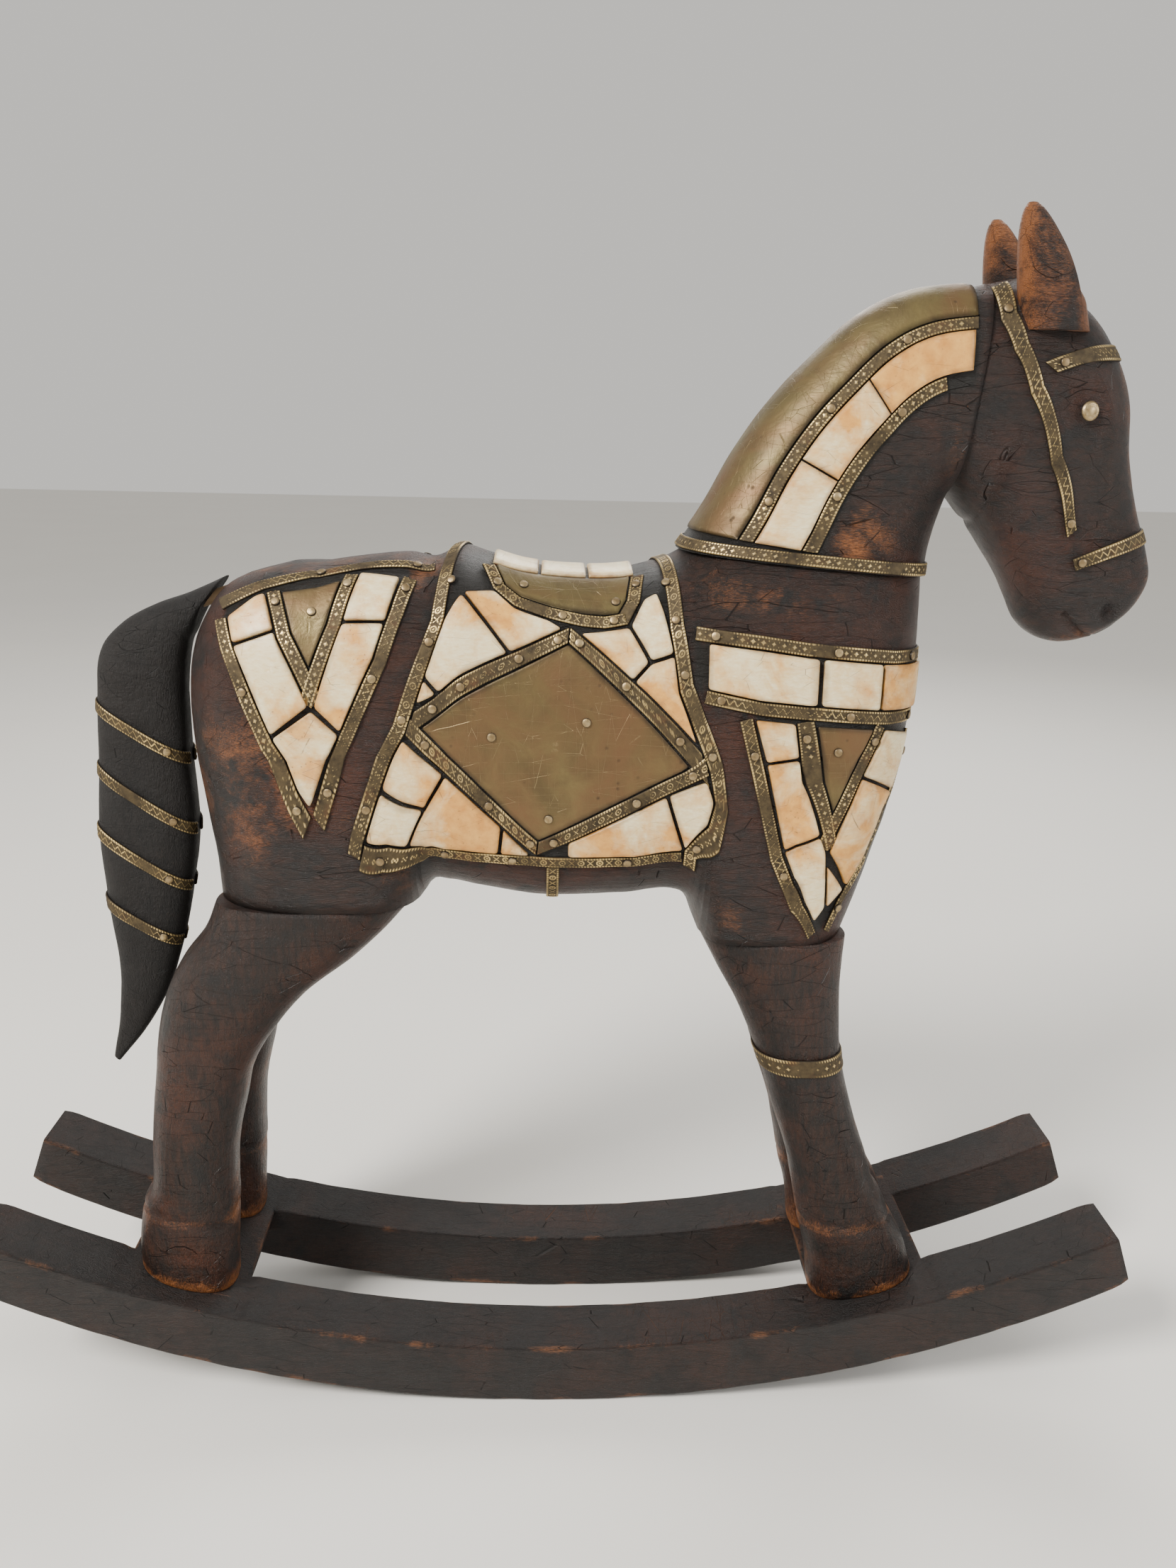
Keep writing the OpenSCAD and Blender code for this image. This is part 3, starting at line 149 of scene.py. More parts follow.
def chest(u, z):
    t = (u - TORSO_FRONT) * math.pi / 2 / FRONT_TURN
    turning = (t > 0) & (t < math.pi)
    t = np.clip(t, 0, math.pi)
    x = np.where(turning, TORSO_FRONT, np.where(t > 0, 2 * MID_U - u, u))
    y = section_y(x, z)
    reach = (curve(CHEST_FRONT, z) - x) * np.abs(np.sin(t)) ** (2 / CHEST_N)
    narrowing = np.where(turning, spower(np.cos(t), 2 / CHEST_N), np.sign(np.cos(t)))
    return np.stack([x + np.where(turning, reach, 0), y * narrowing, z + BELLY_Z], -1)


def on_chest(path):
    p = np.array(path, float)
    part = np.clip((p[:, 0] - TORSO_FRONT) / (curve(CHEST_FRONT, p[:, 1]) - TORSO_FRONT), 0, 1)
    u = TORSO_FRONT + np.degrees(np.arcsin(part ** (CHEST_N / 2))) * FRONT_TURN / 90
    return np.stack([np.where(p[:, 0] <= TORSO_FRONT, p[:, 0], u), p[:, 1]], -1)


# ---------- neck, head and tail ----------
NECK_INNER = [[0, 107.5, 102.75], [1, 108, 107], [2, 108.5, 111], [3, 109.2, 115], [4, 110, 118.5],
              [5, 110.8, 121.5], [6, 111.5, 124.5], [7, 112.5, 127]]
NECK_OUTER = [[0, 34, 109], [1, 42, 121], [2, 50.5, 137], [3, 60.5, 151.5], [4, 72, 164], [5, 84, 175],
              [6, 98, 181.5], [7, 118, 184]]
NECK_HALF = [[0, 1], [1, 0.89], [2, 0.82], [4, 0.76], [7, 0.71]]
NECK_N = 2.8
HEAD_INNER = [[0, 112.5, 127], [1, 114.5, 125], [2, 117.5, 121.5], [3, 122, 116.5], [4, 127, 110],
              [5, 132, 103], [6, 136, 95.5], [7, 139.5, 89], [8, 145, 84.5], [9, 152, 82.6], [10, 159, 84]]
HEAD_OUTER = [[0, 118, 184], [1, 133, 186], [2, 148, 178], [3, 158, 166], [4, 163.5, 154], [5, 166, 139],
              [6, 171, 123], [7, 176, 111], [8, 177.8, 103], [9, 175, 96], [10, 170, 90.5]]
HEAD_HALF = [[0, 0.95], [1, 1], [2, 1.02], [3, 1], [4, 0.92], [5, 0.81], [6, 0.7], [7, 0.63], [8, 0.6],
             [9, 0.54], [10, 0.4]]
HEAD_N = 2.4
TAIL_OUTER = [[0, -100.8, 98], [1, -112, 93], [2, -122, 89.5], [3, -132, 84], [4, -139.5, 75],
              [5, -141.8, 59], [6, -143.2, 39], [7, -145, 19], [8, -144.5, -5], [9, -143, -27],
              [10, -144.5, -45], [11, -148, -62]]
TAIL_INNER = [[0, -107.8, 89], [1, -110.5, 82], [2, -112.5, 78], [3, -114, 71], [4, -115, 60], [5, -115, 42],
              [6, -114.5, 19], [7, -117.5, 0], [8, -122, -19], [9, -128, -37], [10, -136.5, -52],
              [11, -146.3, -64]]
TAIL_HALF = [[0, 0.8], [3, 0.95], [5, 1], [7, 0.95], [8, 0.85], [9, 0.7], [10, 0.5], [11, 0.2]]
TAIL_N = 2.8


def fan(inner, outer, half, w, n, s, b):
    """Point of a fanned piece: s along it, b round it in degrees, 90 at its outer edge."""
    f = np.sin(np.radians(b))
    p = [curve(inner, s, 1), curve(inner, s, 2)]
    q = [curve(outer, s, 1), curve(outer, s, 2)]
    y = np.sign(np.cos(np.radians(b))) * w / 2 * curve(half, s) * swell(f, n)
    return np.stack([(p[0] + q[0]) / 2 + (q[0] - p[0]) / 2 * f, y,
                     (p[1] + q[1]) / 2 + (q[1] - p[1]) / 2 * f + BELLY_Z], -1)


def neck_round(s, b):
    return fan(NECK_INNER, NECK_OUTER, NECK_HALF, NECK_W, NECK_N, s, b)


def head_round(s, b):
    return fan(HEAD_INNER, HEAD_OUTER, HEAD_HALF, HEAD_W, HEAD_N, s, b)


def tail_round(b, s):
    return fan(TAIL_INNER, TAIL_OUTER, TAIL_HALF, TAIL_W, TAIL_N, s, b)


CHEEK_STEP, CHEEK_HALF = 11, 27


def cheek(m, h):
    return head_round(m / CHEEK_STEP, np.degrees(np.arcsin(np.clip(h / CHEEK_HALF, -1, 1))))


# ---------- rockers and legs ----------
ROCKER_T, ROCKER_R, ROCKER_LEN, ROCKER_W, ROCKER_GAP = 21, 413, 380, 21, 35
ROCKER_TOP_R = ROCKER_R + 9
ROCKER_LEAN = 6
ROCKER_Y = (ROCKER_GAP + ROCKER_W) / 2
SLAT_W, SLAT_T, SLAT_IN = 40, 9, 8
SLAT_FRONT_X, SLAT_REAR_X = 108, -122
SEAT_FLAT = 22
FRONT_LEG_Y, REAR_LEG_Y = 18, 19.5
GLUE_T = 0.15


def seat_angle(x):
    return math.asin(x / ROCKER_TOP_R)


def seat_z(x):
    return ROCKER_T + ROCKER_TOP_R * (1 - math.cos(seat_angle(x)))


FRONT_ROWS = [[0, 88, 123], [0.11, 86, 119], [0.2, 82.5, 113.5], [0.27, 80.5, 109.5], [0.3, 79.5, 107],
              [0.37, 77.5, 104], [0.5, 72, 98], [0.67, 65, 92], [0.81, 57.5, 90.3],
              [0.91, 50.5, 90], [1, 44.5, 90.5]]
REAR_ROWS = [[0, -137, -106.5], [0.08, -137, -106], [0.17, -135.5, -105], [0.22, -134, -104.5],
             [0.25, -131.5, -104.5], [0.38, -130, -103], [0.49, -128.5, -99.5], [0.57, -127, -97],
             [0.66, -125.5, -90.5], [0.77, -122, -79], [0.86, -116, -64], [0.93, -109, -54], [1, -105, -46]]
LEG_N = 2.4
# share of the leg that leans with its seat, and of the half body that a leg takes at the hip
HOOF_SHARE, HIP_SHARE = 0.3, 0.43


def hip_y(x, joint):
    return float(section_y(np.array(float(x)), np.array(float(joint)))) * (1 - HIP_SHARE)


LEGS = {"front": (FRONT_ROWS, SLAT_FRONT_X, FRONT_JOINT, FRONT_LEG_Y, hip_y(70, FRONT_JOINT)),
        "rear": (REAR_ROWS, SLAT_REAR_X, REAR_JOINT, REAR_LEG_Y, hip_y(TORSO_REAR, REAR_JOINT))}


def leg_point(which, a, f):
    rows, seat_x, joint, foot_y, hip = LEGS[which]
    low, high = seat_z(seat_x), BELLY_Z + joint - GLUE_T
    rear, front = curve(rows, f, 1), curve(rows, f, 2)
    c, w = (rear + front) / 2, (front - rear) / 2
    tilt = np.where(f > HOOF_SHARE, 0, math.tan(seat_angle(seat_x)) * (1 - f / HOOF_SHARE))
    ca, sa = np.cos(np.radians(a)), np.sin(np.radians(a))
    dx = w * spower(ca, 2 / LEG_N)
    half = LEG_W / 2 + (hip * HIP_SHARE / (1 - HIP_SHARE) - LEG_W / 2) * f ** 2
    y = foot_y + (hip - foot_y) * f ** 2 - half * spower(sa, 2 / LEG_N)
    return np.stack([c + dx, y, low + tilt * (c - seat_x) + (high - low) * f + tilt * dx], -1)


SHIN_H = BELLY_Z + FRONT_JOINT - GLUE_T - seat_z(SLAT_FRONT_X)


def shin(a, h):
    return leg_point("front", a, h / SHIN_H)


# ---------- meshes ----------
def mesh_piece(name, points, faces, slot, finish, nodes, attributes):
    """A new piece in metres that stands for nodes of the frame."""
    mesh = bpy.data.meshes.new(name)
    mesh.from_pydata((np.asarray(points) * MM).tolist(), [], [list(map(int, f)) for f in faces])
    mesh.validate()
    for key, values in attributes.items():
        layer = mesh.attributes.new(key, "FLOAT", "POINT")
        layer.data.foreach_set("value", np.asarray(values, np.float32))
    mesh.polygons.foreach_set("use_smooth", [True] * len(mesh.polygons))
    piece = bpy.data.objects.new(name, mesh)
    bpy.context.scene.collection.objects.link(piece)
    mesh.materials.append(finish)
    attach(piece, BODY)
    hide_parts(*nodes)


def volume(points, faces):
    """Signed volume of a closed solid."""
    fans = np.array([(f[0], f[i], f[i + 1]) for f in faces for i in range(1, len(f) - 1)])
    a, b, c = points[fans[:, 0]], points[fans[:, 1]], points[fans[:, 2]]
    return np.einsum("ij,ij->i", a, np.cross(b, c)).sum() / 6


class Parts:
    """Collects solids into one mesh."""

    def __init__(self):
        self.points, self.faces, self.attributes, self.count = [], [], {}, 0

    def add(self, points, faces, **attributes):
        points = np.asarray(points, float).reshape(-1, 3)
        if volume(points, faces) < 0:
            faces = [f[::-1] for f in faces]
        self.points.append(points)
        self.faces += [[i + self.count for i in f] for f in faces]
        for key, v in attributes.items():
            v = np.broadcast_to(np.asarray(v, float), (len(points),))
            self.attributes.setdefault(key, []).append(v)
        self.count += len(points)

    def mirrored(self):
        """The same solids on the other side."""
        other = Parts()
        for p in self.points:
            other.points.append(p * [1, -1, 1])
        other.faces = [f[::-1] for f in self.faces]
        other.attributes = {k: list(v) for k, v in self.attributes.items()}
        other.count = self.count
        return other

    def join(self, other):
        self.faces += [[i + self.count for i in f] for f in other.faces]
        self.points += other.points
        for k, v in other.attributes.items():
            self.attributes.setdefault(k, []).extend(v)
        self.count += other.count
        return self

    def make(self, name, look, node):
        attributes = {k: np.concatenate(v) for k, v in self.attributes.items()}
        mesh_piece(name, np.concatenate(self.points), self.faces, *look, [node], attributes)


def sweep(rings):
    """Faces of a closed solid through equal rings, with flat ends."""
    n, k = rings.shape[:2]
    faces = []
    for i in range(n - 1):
        a = i * k
        faces += [[a + j, a + (j + 1) % k, a + k + (j + 1) % k, a + k + j] for j in range(k)]
    faces.append(list(range(k - 1, -1, -1)))
    faces.append([(n - 1) * k + j for j in range(k)])
    return faces


def normals(face, u, v, nudge=0.25):
    n = np.cross(face(u, v + nudge) - face(u, v - nudge), face(u + nudge, v) - face(u - nudge, v))
    return n / np.maximum(1e-9, np.linalg.norm(n, axis=-1, keepdims=True))


def lifted(face, u, v, d):
    return face(u, v) + np.asarray(d)[..., None] * normals(face, u, v)


def unit(v):
    return v / np.linalg.norm(v)


def left_of(v):
    return np.array([-v[1], v[0]])


def run_length(path):
    """Length run so far at each point of a path."""
    return np.concatenate([[0], np.cumsum(np.linalg.norm(np.diff(path, axis=0), axis=1))])


def beside(path, d):
    """The path moved d to its left."""
    out = []
    for i, p in enumerate(path):
        b = unit(path[i + 1] - p if i < len(path) - 1 else p - path[i - 1])
        a = unit(p - path[i - 1]) if i else b
        m = unit(left_of(a) + left_of(b))
        out.append(p + m * d / max(0.3, m @ left_of(b)))
    return np.array(out)


# ---------- pressed patterns of the brass strip: height from l along and w across, both in mm ----------
def bump(r, size):
    return np.sqrt(np.clip(1 - (r / size) ** 2, 0, 1))


def beads(l, w, half):
    near = (l % 0.9) - 0.45
    return 0.2 * bump(np.hypot(near, np.abs(w) - half * 0.8), 0.4)


def star_pattern(l, w, half):
    period = 3.0
    d = (l % period) - period / 2
    angle, r = np.arctan2(w, d), np.hypot(d, w)
    star = 0.22 * np.clip(1 - r / (0.55 + 0.4 * np.abs(np.cos(2 * angle)) ** 3), 0, 1) ** 0.6
    side = np.abs(((l + period / 2) % period) - period / 2)
    dots = 0.16 * bump(np.hypot(side, np.abs(w) - half * 0.36), 0.3)
    return np.maximum(star, dots)


def zigzag_pattern(l, w, half):
    period = 2.4
    tri = np.abs((l % period) / period * 4 - 2) - 1
    return 0.2 * np.exp(-((w - tri * half * 0.42) / 0.2) ** 2)


def cross_pattern(l, w, half):
    cell = 2.8
    d = (l % cell) - cell / 2
    r = np.hypot(d, w)
    odd = (np.floor(l / cell) % 2) == 1
    cross = 0.22 * np.exp(-((np.abs(d) - np.abs(w)) / 0.17) ** 2) * (r < 1.35)
    ring = 0.2 * np.exp(-((r - 0.85) / 0.2) ** 2) + 0.2 * bump(r, 0.35)
    return np.where(odd, ring, cross)


def pressed(pattern, l, w, half, seed):
    """Pattern, beads and a raised lip, rubbed away in patches."""
    lip = 0.12 * np.clip((np.abs(w) - half * 0.92) / (half * 0.08), 0, 1)
    worn = 0.62 + 0.38 * np.sin(l * 0.31 + seed) * np.sin(l * 0.113 + 2 * seed)
    return (np.maximum(pattern(l, w, half), beads(l, w, half)) + lip) * np.clip(worn, 0.25, 1)


# points across a strip, height of its foot over the wood, and how far it is pressed in
ACROSS, FOOT, SINK = 15, 0.02, 0.15
# how many strips are made so far; each wears in its own way
SEED = [0]


def ribbon(parts, face, low, high, pattern):
    """A pressed strip between two edges with equal numbers of points."""
    SEED[0] += 1
    seed = SEED[0] * 1.7
    j = np.linspace(0, 1, ACROSS)
    u = low[:, None, 0] + (high - low)[:, None, 0] * j
    v = low[:, None, 1] + (high - low)[:, None, 1] * j
    base = face(u, v)
    nrm = normals(face, u, v)
    mid = base[:, ACROSS // 2]
    l = run_length(mid)
    width = np.linalg.norm(base[:, -1] - base[:, 0], axis=-1)
    w = (j[None, :] - 0.5) * width[:, None]
    relief = pressed(pattern, l[:, None] + 0 * w, w, width[:, None] / 2, seed)
    edge = np.clip((0.5 - np.abs(j - 0.5)) * 8, 0, 1) ** 0.5
    wave = 0.05 * np.sin(l * 0.21 + seed)[:, None] + 0.03 * np.sin(l * 0.53 + 2 * seed)[:, None]
    lift = BED_T + BRASS_T * (0.55 + 0.45 * edge) - SINK + relief + wave
    top = base + lift[..., None] * nrm
    foot = base + FOOT * nrm
    rings = np.concatenate([foot[:, :1], top, foot[:, -1:]], 1)
    none = 0 * l[:, None]
    flat = np.concatenate([none, relief / 0.25, none], 1)
    rim = np.concatenate([none, np.broadcast_to(edge, relief.shape), none], 1)
    shade = math.sin(seed * 12.9) * 0.5 + 0.5
    parts.add(rings, sweep(rings), relief=flat.ravel(), rim=rim.ravel(), tint=shade)


STRIP_STEP = 0.3


def strip(parts, face, path, start, pattern):
    p = stepped(path, STRIP_STEP)
    ribbon(parts, face, beside(p, start), beside(p, start + STRIP_W), pattern)


def stepped(path, step):
    """Points along each stretch of a path; its corners stay."""
    out = []
    path = [np.array(p, float) for p in path]
    for a, b in zip(path[:-1], path[1:]):
        n = max(1, int(math.ceil(np.linalg.norm(b - a) / step)))
        out += [a + (b - a) * k / n for k in range(n)]
    return np.array(out + [path[-1]])


def cross(a, b):
    return a[0] * b[1] - a[1] * b[0]


# ---------- tiles and plates pressed on ----------
def inset(shape, d):
    shape = np.array(shape, float)
    n, out = len(shape), []
    for i in range(n):
        a, b = unit(shape[i] - shape[i - 1]), unit(shape[(i + 1) % n] - shape[i])
        da, db = d[i - 1], d[i]
        c = cross(a, b)
        out.append(shape[i] + left_of(b) * db if abs(c) < 0.05 else shape[i] + (b * da - a * db) / c)
    return np.array(out)


def rounded(shape, r):
    """A closed outline with its corners cut back by r and rounded."""
    out, n = [], len(shape)
    for i in range(n):
        p, q, s = shape[i - 1], shape[i], shape[(i + 1) % n]
        k = min(r, 0.4 * np.linalg.norm(p - q), 0.4 * np.linalg.norm(s - q))
        a, b = q + unit(p - q) * k, q + unit(s - q) * k
        out += [(1 - t) ** 2 * a + 2 * t * (1 - t) * q + t * t * b for t in (0, 0.33, 0.67, 1)]
    return np.array(out)


RIM_DEPTHS = [0.0, 0.0, 0.06, 0.16, 0.32, 0.6]


def pressed_sheet(parts, face, outline, profile, ripple, tint, step, corner):
    """A flat closed shape on a face. profile gives its height at a distance from the rim."""
    corners = rounded(outline, corner)
    rim = stepped([*corners, corners[0]], step)[:-1]
    centre = outline.mean(0)
    reach = np.linalg.norm(rim - centre, axis=1)
    size = reach.mean()
    depth = RIM_DEPTHS + list(np.arange(1.4, size * 0.93, max(1.0, size / 22)))
    n = len(rim)
    rings, inner = [], []
    for k, d in enumerate(depth):
        f = np.clip(1 - d / reach, 0.04, 1)[:, None]
        at = centre + (rim - centre) * f
        lift = np.full(n, FOOT) if k == 0 else profile(d) + ripple(at)
        rings.append(lifted(face, at[:, 0], at[:, 1], lift))
        inner.append(np.full(n, d))
    mid = lifted(face, centre[None, 0], centre[None, 1], profile(size) + ripple(centre[None, :]))
    base = lifted(face, centre[None, 0], centre[None, 1], np.array([FOOT]))
    points = np.concatenate([np.concatenate(rings), mid, base])
    faces = []
    for k in range(len(depth) - 1):
        a, b = k * n, (k + 1) * n
        faces += [[a + i, b + i, b + (i + 1) % n, a + (i + 1) % n] for i in range(n)]
    last = (len(depth) - 1) * n
    faces += [[last + i, len(points) - 2, last + (i + 1) % n] for i in range(n)]
    faces += [[i, (i + 1) % n, len(points) - 1] for i in range(n)]
    parts.add(points, faces, rim=np.concatenate(inner + [[size, 0]]), tint=tint)


def noise_at(points, scale, seed):
    return np.array([noise.noise(Vector((x * scale + seed, y * scale - seed, 3.7 * seed)))
                     for x, y in points])


def rim_profile(thick, drop, width):
    """Height of a sheet at a distance from its rim, which is rounded over a width."""
    return lambda d: BED_T + thick - drop * (1 - min(1, d / width)) ** 2


BONE_PROFILE, SHEET_PROFILE = rim_profile(BONE_T, 0.35, 0.45), rim_profile(BRASS_T, 0.25, 0.5)


def tile(parts, face, cell, tint, seed):
    def ripple(p):
        return 0.10 * noise_at(p, 0.12, seed) + 0.05 * noise_at(p, 0.5, seed)
    shape = inset(cell, [TILE_GAP / 2] * len(cell))
    pressed_sheet(parts, face, shape, BONE_PROFILE, ripple, tint, 1.0, 0.9)


def plate(parts, face, cell, d, tint, seed, dents=()):
    def ripple(p):
        h = 0.16 * noise_at(p, 0.09, seed) + 0.06 * noise_at(p, 0.3, seed + 4)
        for x, v, r, k in dents:
            q = np.hypot(p[:, 0] - x, p[:, 1] - v)
            h = h - k * np.exp(-(q / r) ** 2)
        return h
    pressed_sheet(parts, face, inset(cell, d), SHEET_PROFILE, ripple, tint, 0.8, 0.6)


def grid_sheet(parts, face, low, high, thick, cuts, seed, tint, roughness):
    """A sheet between two edges, with a rounded rim."""
    j = np.concatenate([[0, 0], np.linspace(0.0, 1, cuts + 1), [1, 1]])
    inside = np.minimum(j, 1 - j)
    n = len(low)
    along = np.minimum(np.arange(n), np.arange(n)[::-1]) / max(1, n - 1)
    u = low[:, None, 0] + (high - low)[:, None, 0] * j
    v = low[:, None, 1] + (high - low)[:, None, 1] * j
    base, nrm = face(u, v), normals(face, u, v)
    span = np.linalg.norm(base[:, -1] - base[:, 0], axis=-1).mean() + 3
    length = np.linalg.norm(np.diff(base[:, len(j) // 2], axis=0), axis=1).sum()
    rim = np.minimum(inside[None, :] * span, along[:, None] * length)
    flat = base.reshape(-1, 3)
    rough = np.array([noise.noise(Vector(p * 0.11 + seed)) for p in flat]).reshape(u.shape)
    lift = BED_T + thick - 0.3 * (1 - np.clip(rim / 0.7, 0, 1)) ** 2 + roughness * rough
    lift[:, 0] = lift[:, -1] = FOOT
    rings = base + lift[..., None] * nrm
    parts.add(rings, sweep(rings), rim=rim.ravel(), tint=tint)


# ---------- pins ----------
def share_point(path, f):
    length = run_length(path)
    return np.array([np.interp(f * length[-1], length, path[:, c]) for c in (0, 1)])


PIN_SHAPE = [(1.0, -0.35), (1.0, 0.0), (1.0, 0.22), (0.93, 0.38), (0.8, 0.48), (0.55, 0.56), (0.28, 0.6)]
PIN_TOP = 0.61
PIN_CLEAR = 0.05


def round_axes(n, sides):
    """Directions round an axis, each with its turn."""
    side = unit(np.cross(n, [0.31, 0.2, 0.93]))
    turn = np.arange(sides) / sides * 2 * math.pi
    return turn, np.cos(turn)[:, None] * side + np.sin(turn)[:, None] * np.cross(n, side)


def pin(parts, face, p):
    """A domed pin head, set a little askew."""
    size, sides = PIN_D / 2, PIN_SIDES
    u, v = np.array([p[0]]), np.array([p[1]])
    n = normals(face, u, v)[0]
    at = lifted(face, u, v, np.array([BED_T + BRASS_T + PIN_CLEAR]))[0]
    turn, out = round_axes(n, sides)
    tilt = 0.06 * math.sin(7.1 * p[0] + 3.3 * p[1])
    rings, rim, faces = [], [], []
    for r, h in PIN_SHAPE:
        rings.append(at + n * h + size * r * out + n * (tilt * r * np.cos(turn))[:, None])
        rim += [(1 - r) * size] * sides
    points = np.concatenate(rings + [[at + n * PIN_TOP]])
    for k in range(len(rings) - 1):
        a, b = k * sides, (k + 1) * sides
        faces += [[a + i, a + (i + 1) % sides, b + (i + 1) % sides, b + i] for i in range(sides)]
    top = (len(rings) - 1) * sides
    faces += [[top + i, top + (i + 1) % sides, len(points) - 1] for i in range(sides)]
    faces.append(list(range(sides - 1, -1, -1)))
    parts.add(points, faces, rim=np.array(rim + [size]), tint=abs(math.sin(p[0] * 3.1 + p[1])))


def strip_pins(parts, face, path, start, shares):
    p = beside(np.array(path, float), start + STRIP_W / 2)
    for f in shares:
        pin(parts, face, share_point(p, f))


# ---------- materials ----------
class Wire:
    """A socket that takes part in sums."""

    def __init__(self, finish, socket):
        self.finish, self.socket = finish, socket

    def math(self, operation, *values):
        return self.finish.node("ShaderNodeMath", {"operation": operation}, dict(enumerate(values)))

    def __add__(self, other):
        return self.math("ADD", self, other)

    def __sub__(self, other):
        return self.math("SUBTRACT", self, other)

    def __mul__(self, other):
        return self.math("MULTIPLY", self, other)

    def __rsub__(self, other):
        return self.math("SUBTRACT", other, self)

    __radd__, __rmul__ = __add__, __mul__

    def ramp(self, low, high, to_low=0.0, to_high=1.0):
        return self.finish.node("ShaderNodeMapRange", {"clamp": True},
                                {"Value": self, "From Min": low, "From Max": high,
                                 "To Min": to_low, "To Max": to_high})


class Finish:
    """A material and its nodes."""

    def __init__(self, name, **steady):
        self.material = bpy.data.materials.new(name)
        self.material.use_nodes = True
        self.tree = self.material.node_tree
        self.shader = self.tree.nodes["Principled BSDF"]
        for key, value in steady.items():
            self.shader.inputs[key.replace("_", " ")].default_value = value
        self.place = self.node("ShaderNodeTexCoord", {}, {}, "Object")

    def node(self, kind, settings, inputs, output=0):
        made = self.tree.nodes.new(kind)
        for key, value in settings.items():
            setattr(made, key, value)
        for key, value in inputs.items():
            if isinstance(value, Wire):
                self.tree.links.new(value.socket, made.inputs[key])
            else:
                made.inputs[key].default_value = value
        return Wire(self, made.outputs[output])

    def stretched(self, x, y, z, turn=(0, 0, 0)):
        return self.node("ShaderNodeMapping", {},
                         {"Vector": self.place, "Scale": (x, y, z), "Rotation": turn})

    def noise(self, where, scale, detail=4.0, roughness=0.55, distortion=0.0):
        return self.node("ShaderNodeTexNoise", {}, {"Vector": where, "Scale": scale, "Detail": detail,
                                                   "Roughness": roughness, "Distortion": distortion}, "Fac")

    def cells(self, where, scale, feature="F1"):
        return self.node("ShaderNodeTexVoronoi", {"feature": feature}, {"Vector": where, "Scale": scale},
                         "Distance")

    def lines(self, where, scale, width):
        """Thin lines where cells meet."""
        return self.cells(where, scale, "DISTANCE_TO_EDGE").ramp(0.0, width, 1, 0)

    def stored(self, name):
        return self.node("ShaderNodeAttribute", {"attribute_name": name}, {}, "Fac")

    def mix(self, factor, a, b):
        return self.node("ShaderNodeMix", {"data_type": "RGBA"}, {0: factor, 6: a, 7: b}, 2)

    def set(self, **links):
        for key, wire in links.items():
            self.tree.links.new(wire.socket, self.shader.inputs[key.replace("_", " ")])

    def bump(self, height, distance, strength=1.0):
        self.set(Normal=self.node("ShaderNodeBump", {}, {"Height": height, "Distance": distance,
                                                         "Strength": strength}, "Normal"))


def rgb(r, g, b):
    return (r, g, b, 1.0)


def carved_wood(name, dark, mid, red, worn_tone, along=(14, 60, 60), gloss=0.27):
    """Dark wood with grain, red patches, pale worn edges, soot, nicks and cracks."""
    f = Finish(name, Specular_IOR_Level=0.36)
    grain = f.noise(f.stretched(*along), 12, 6, 0.6, 0.6)
    fibre = f.noise(f.stretched(along[0] * 3, along[1] * 5, along[2] * 5), 14, 5, 0.62, 0.2)
    cloud = f.noise(f.place, 26, 5, 0.6, 0.3)
    patch = f.noise(f.place, 55, 6, 0.68, 0.5)
    grime = f.noise(f.place, 120, 5, 0.7)
    wear, pitch = f.stored("wear"), f.stored("pitch")
    colour = f.mix(grain.ramp(0.36, 0.66), dark, mid)
    colour = f.mix(cloud.ramp(0.46, 0.66) * fibre.ramp(0.3, 0.62), colour, red)
    rub = (wear * 1.1 + patch * 1.15 + fibre * 0.6 - 1.2).ramp(0, 0.35)
    colour = f.mix(rub * fibre.ramp(0.35, 0.6, 0.45, 1), colour, worn_tone)
    nick = f.cells(f.stretched(60, 25, 25, (0.3, 0.5, 0.2)), 9).ramp(0.0, 0.09, 1, 0) * patch.ramp(0.5, 0.6)
    colour = f.mix(nick * 0.6, colour, worn_tone)
    soot = grime.ramp(0.52, 0.66) * 0.75
    colour = f.mix((soot + patch.ramp(0.5, 0.36) * 0.7).ramp(0, 1), colour, rgb(0.006, 0.0045, 0.004))
    colour = f.mix(pitch, colour, rgb(0.007, 0.006, 0.005))
    scratch = f.lines(f.stretched(30, 9, 120, (0.3, 0.5, 0.2)), 9, 0.014)
    marks = scratch * cloud.ramp(0.52, 0.66)
    colour = f.mix(marks * 0.4, colour, worn_tone)
    crack = f.lines(f.stretched(6, 40, 40), 6, 0.01) * patch.ramp(0.42, 0.55)
    colour = f.mix(crack * 0.8, colour, rgb(0.003, 0.002, 0.002))
    rough = (grime * 0.35 + patch * 0.25 + gloss - 0.26).ramp(0.12, 0.95, 0.16, 0.95)
    f.set(Base_Color=colour, Roughness=rough)
    height = grain * 0.3 + fibre * 0.45 + grime * 0.5 + patch * 0.7
    f.bump(height - marks * 0.3 - crack * 1.2 - nick * 0.4, 0.0016, 0.85)
    return f.material


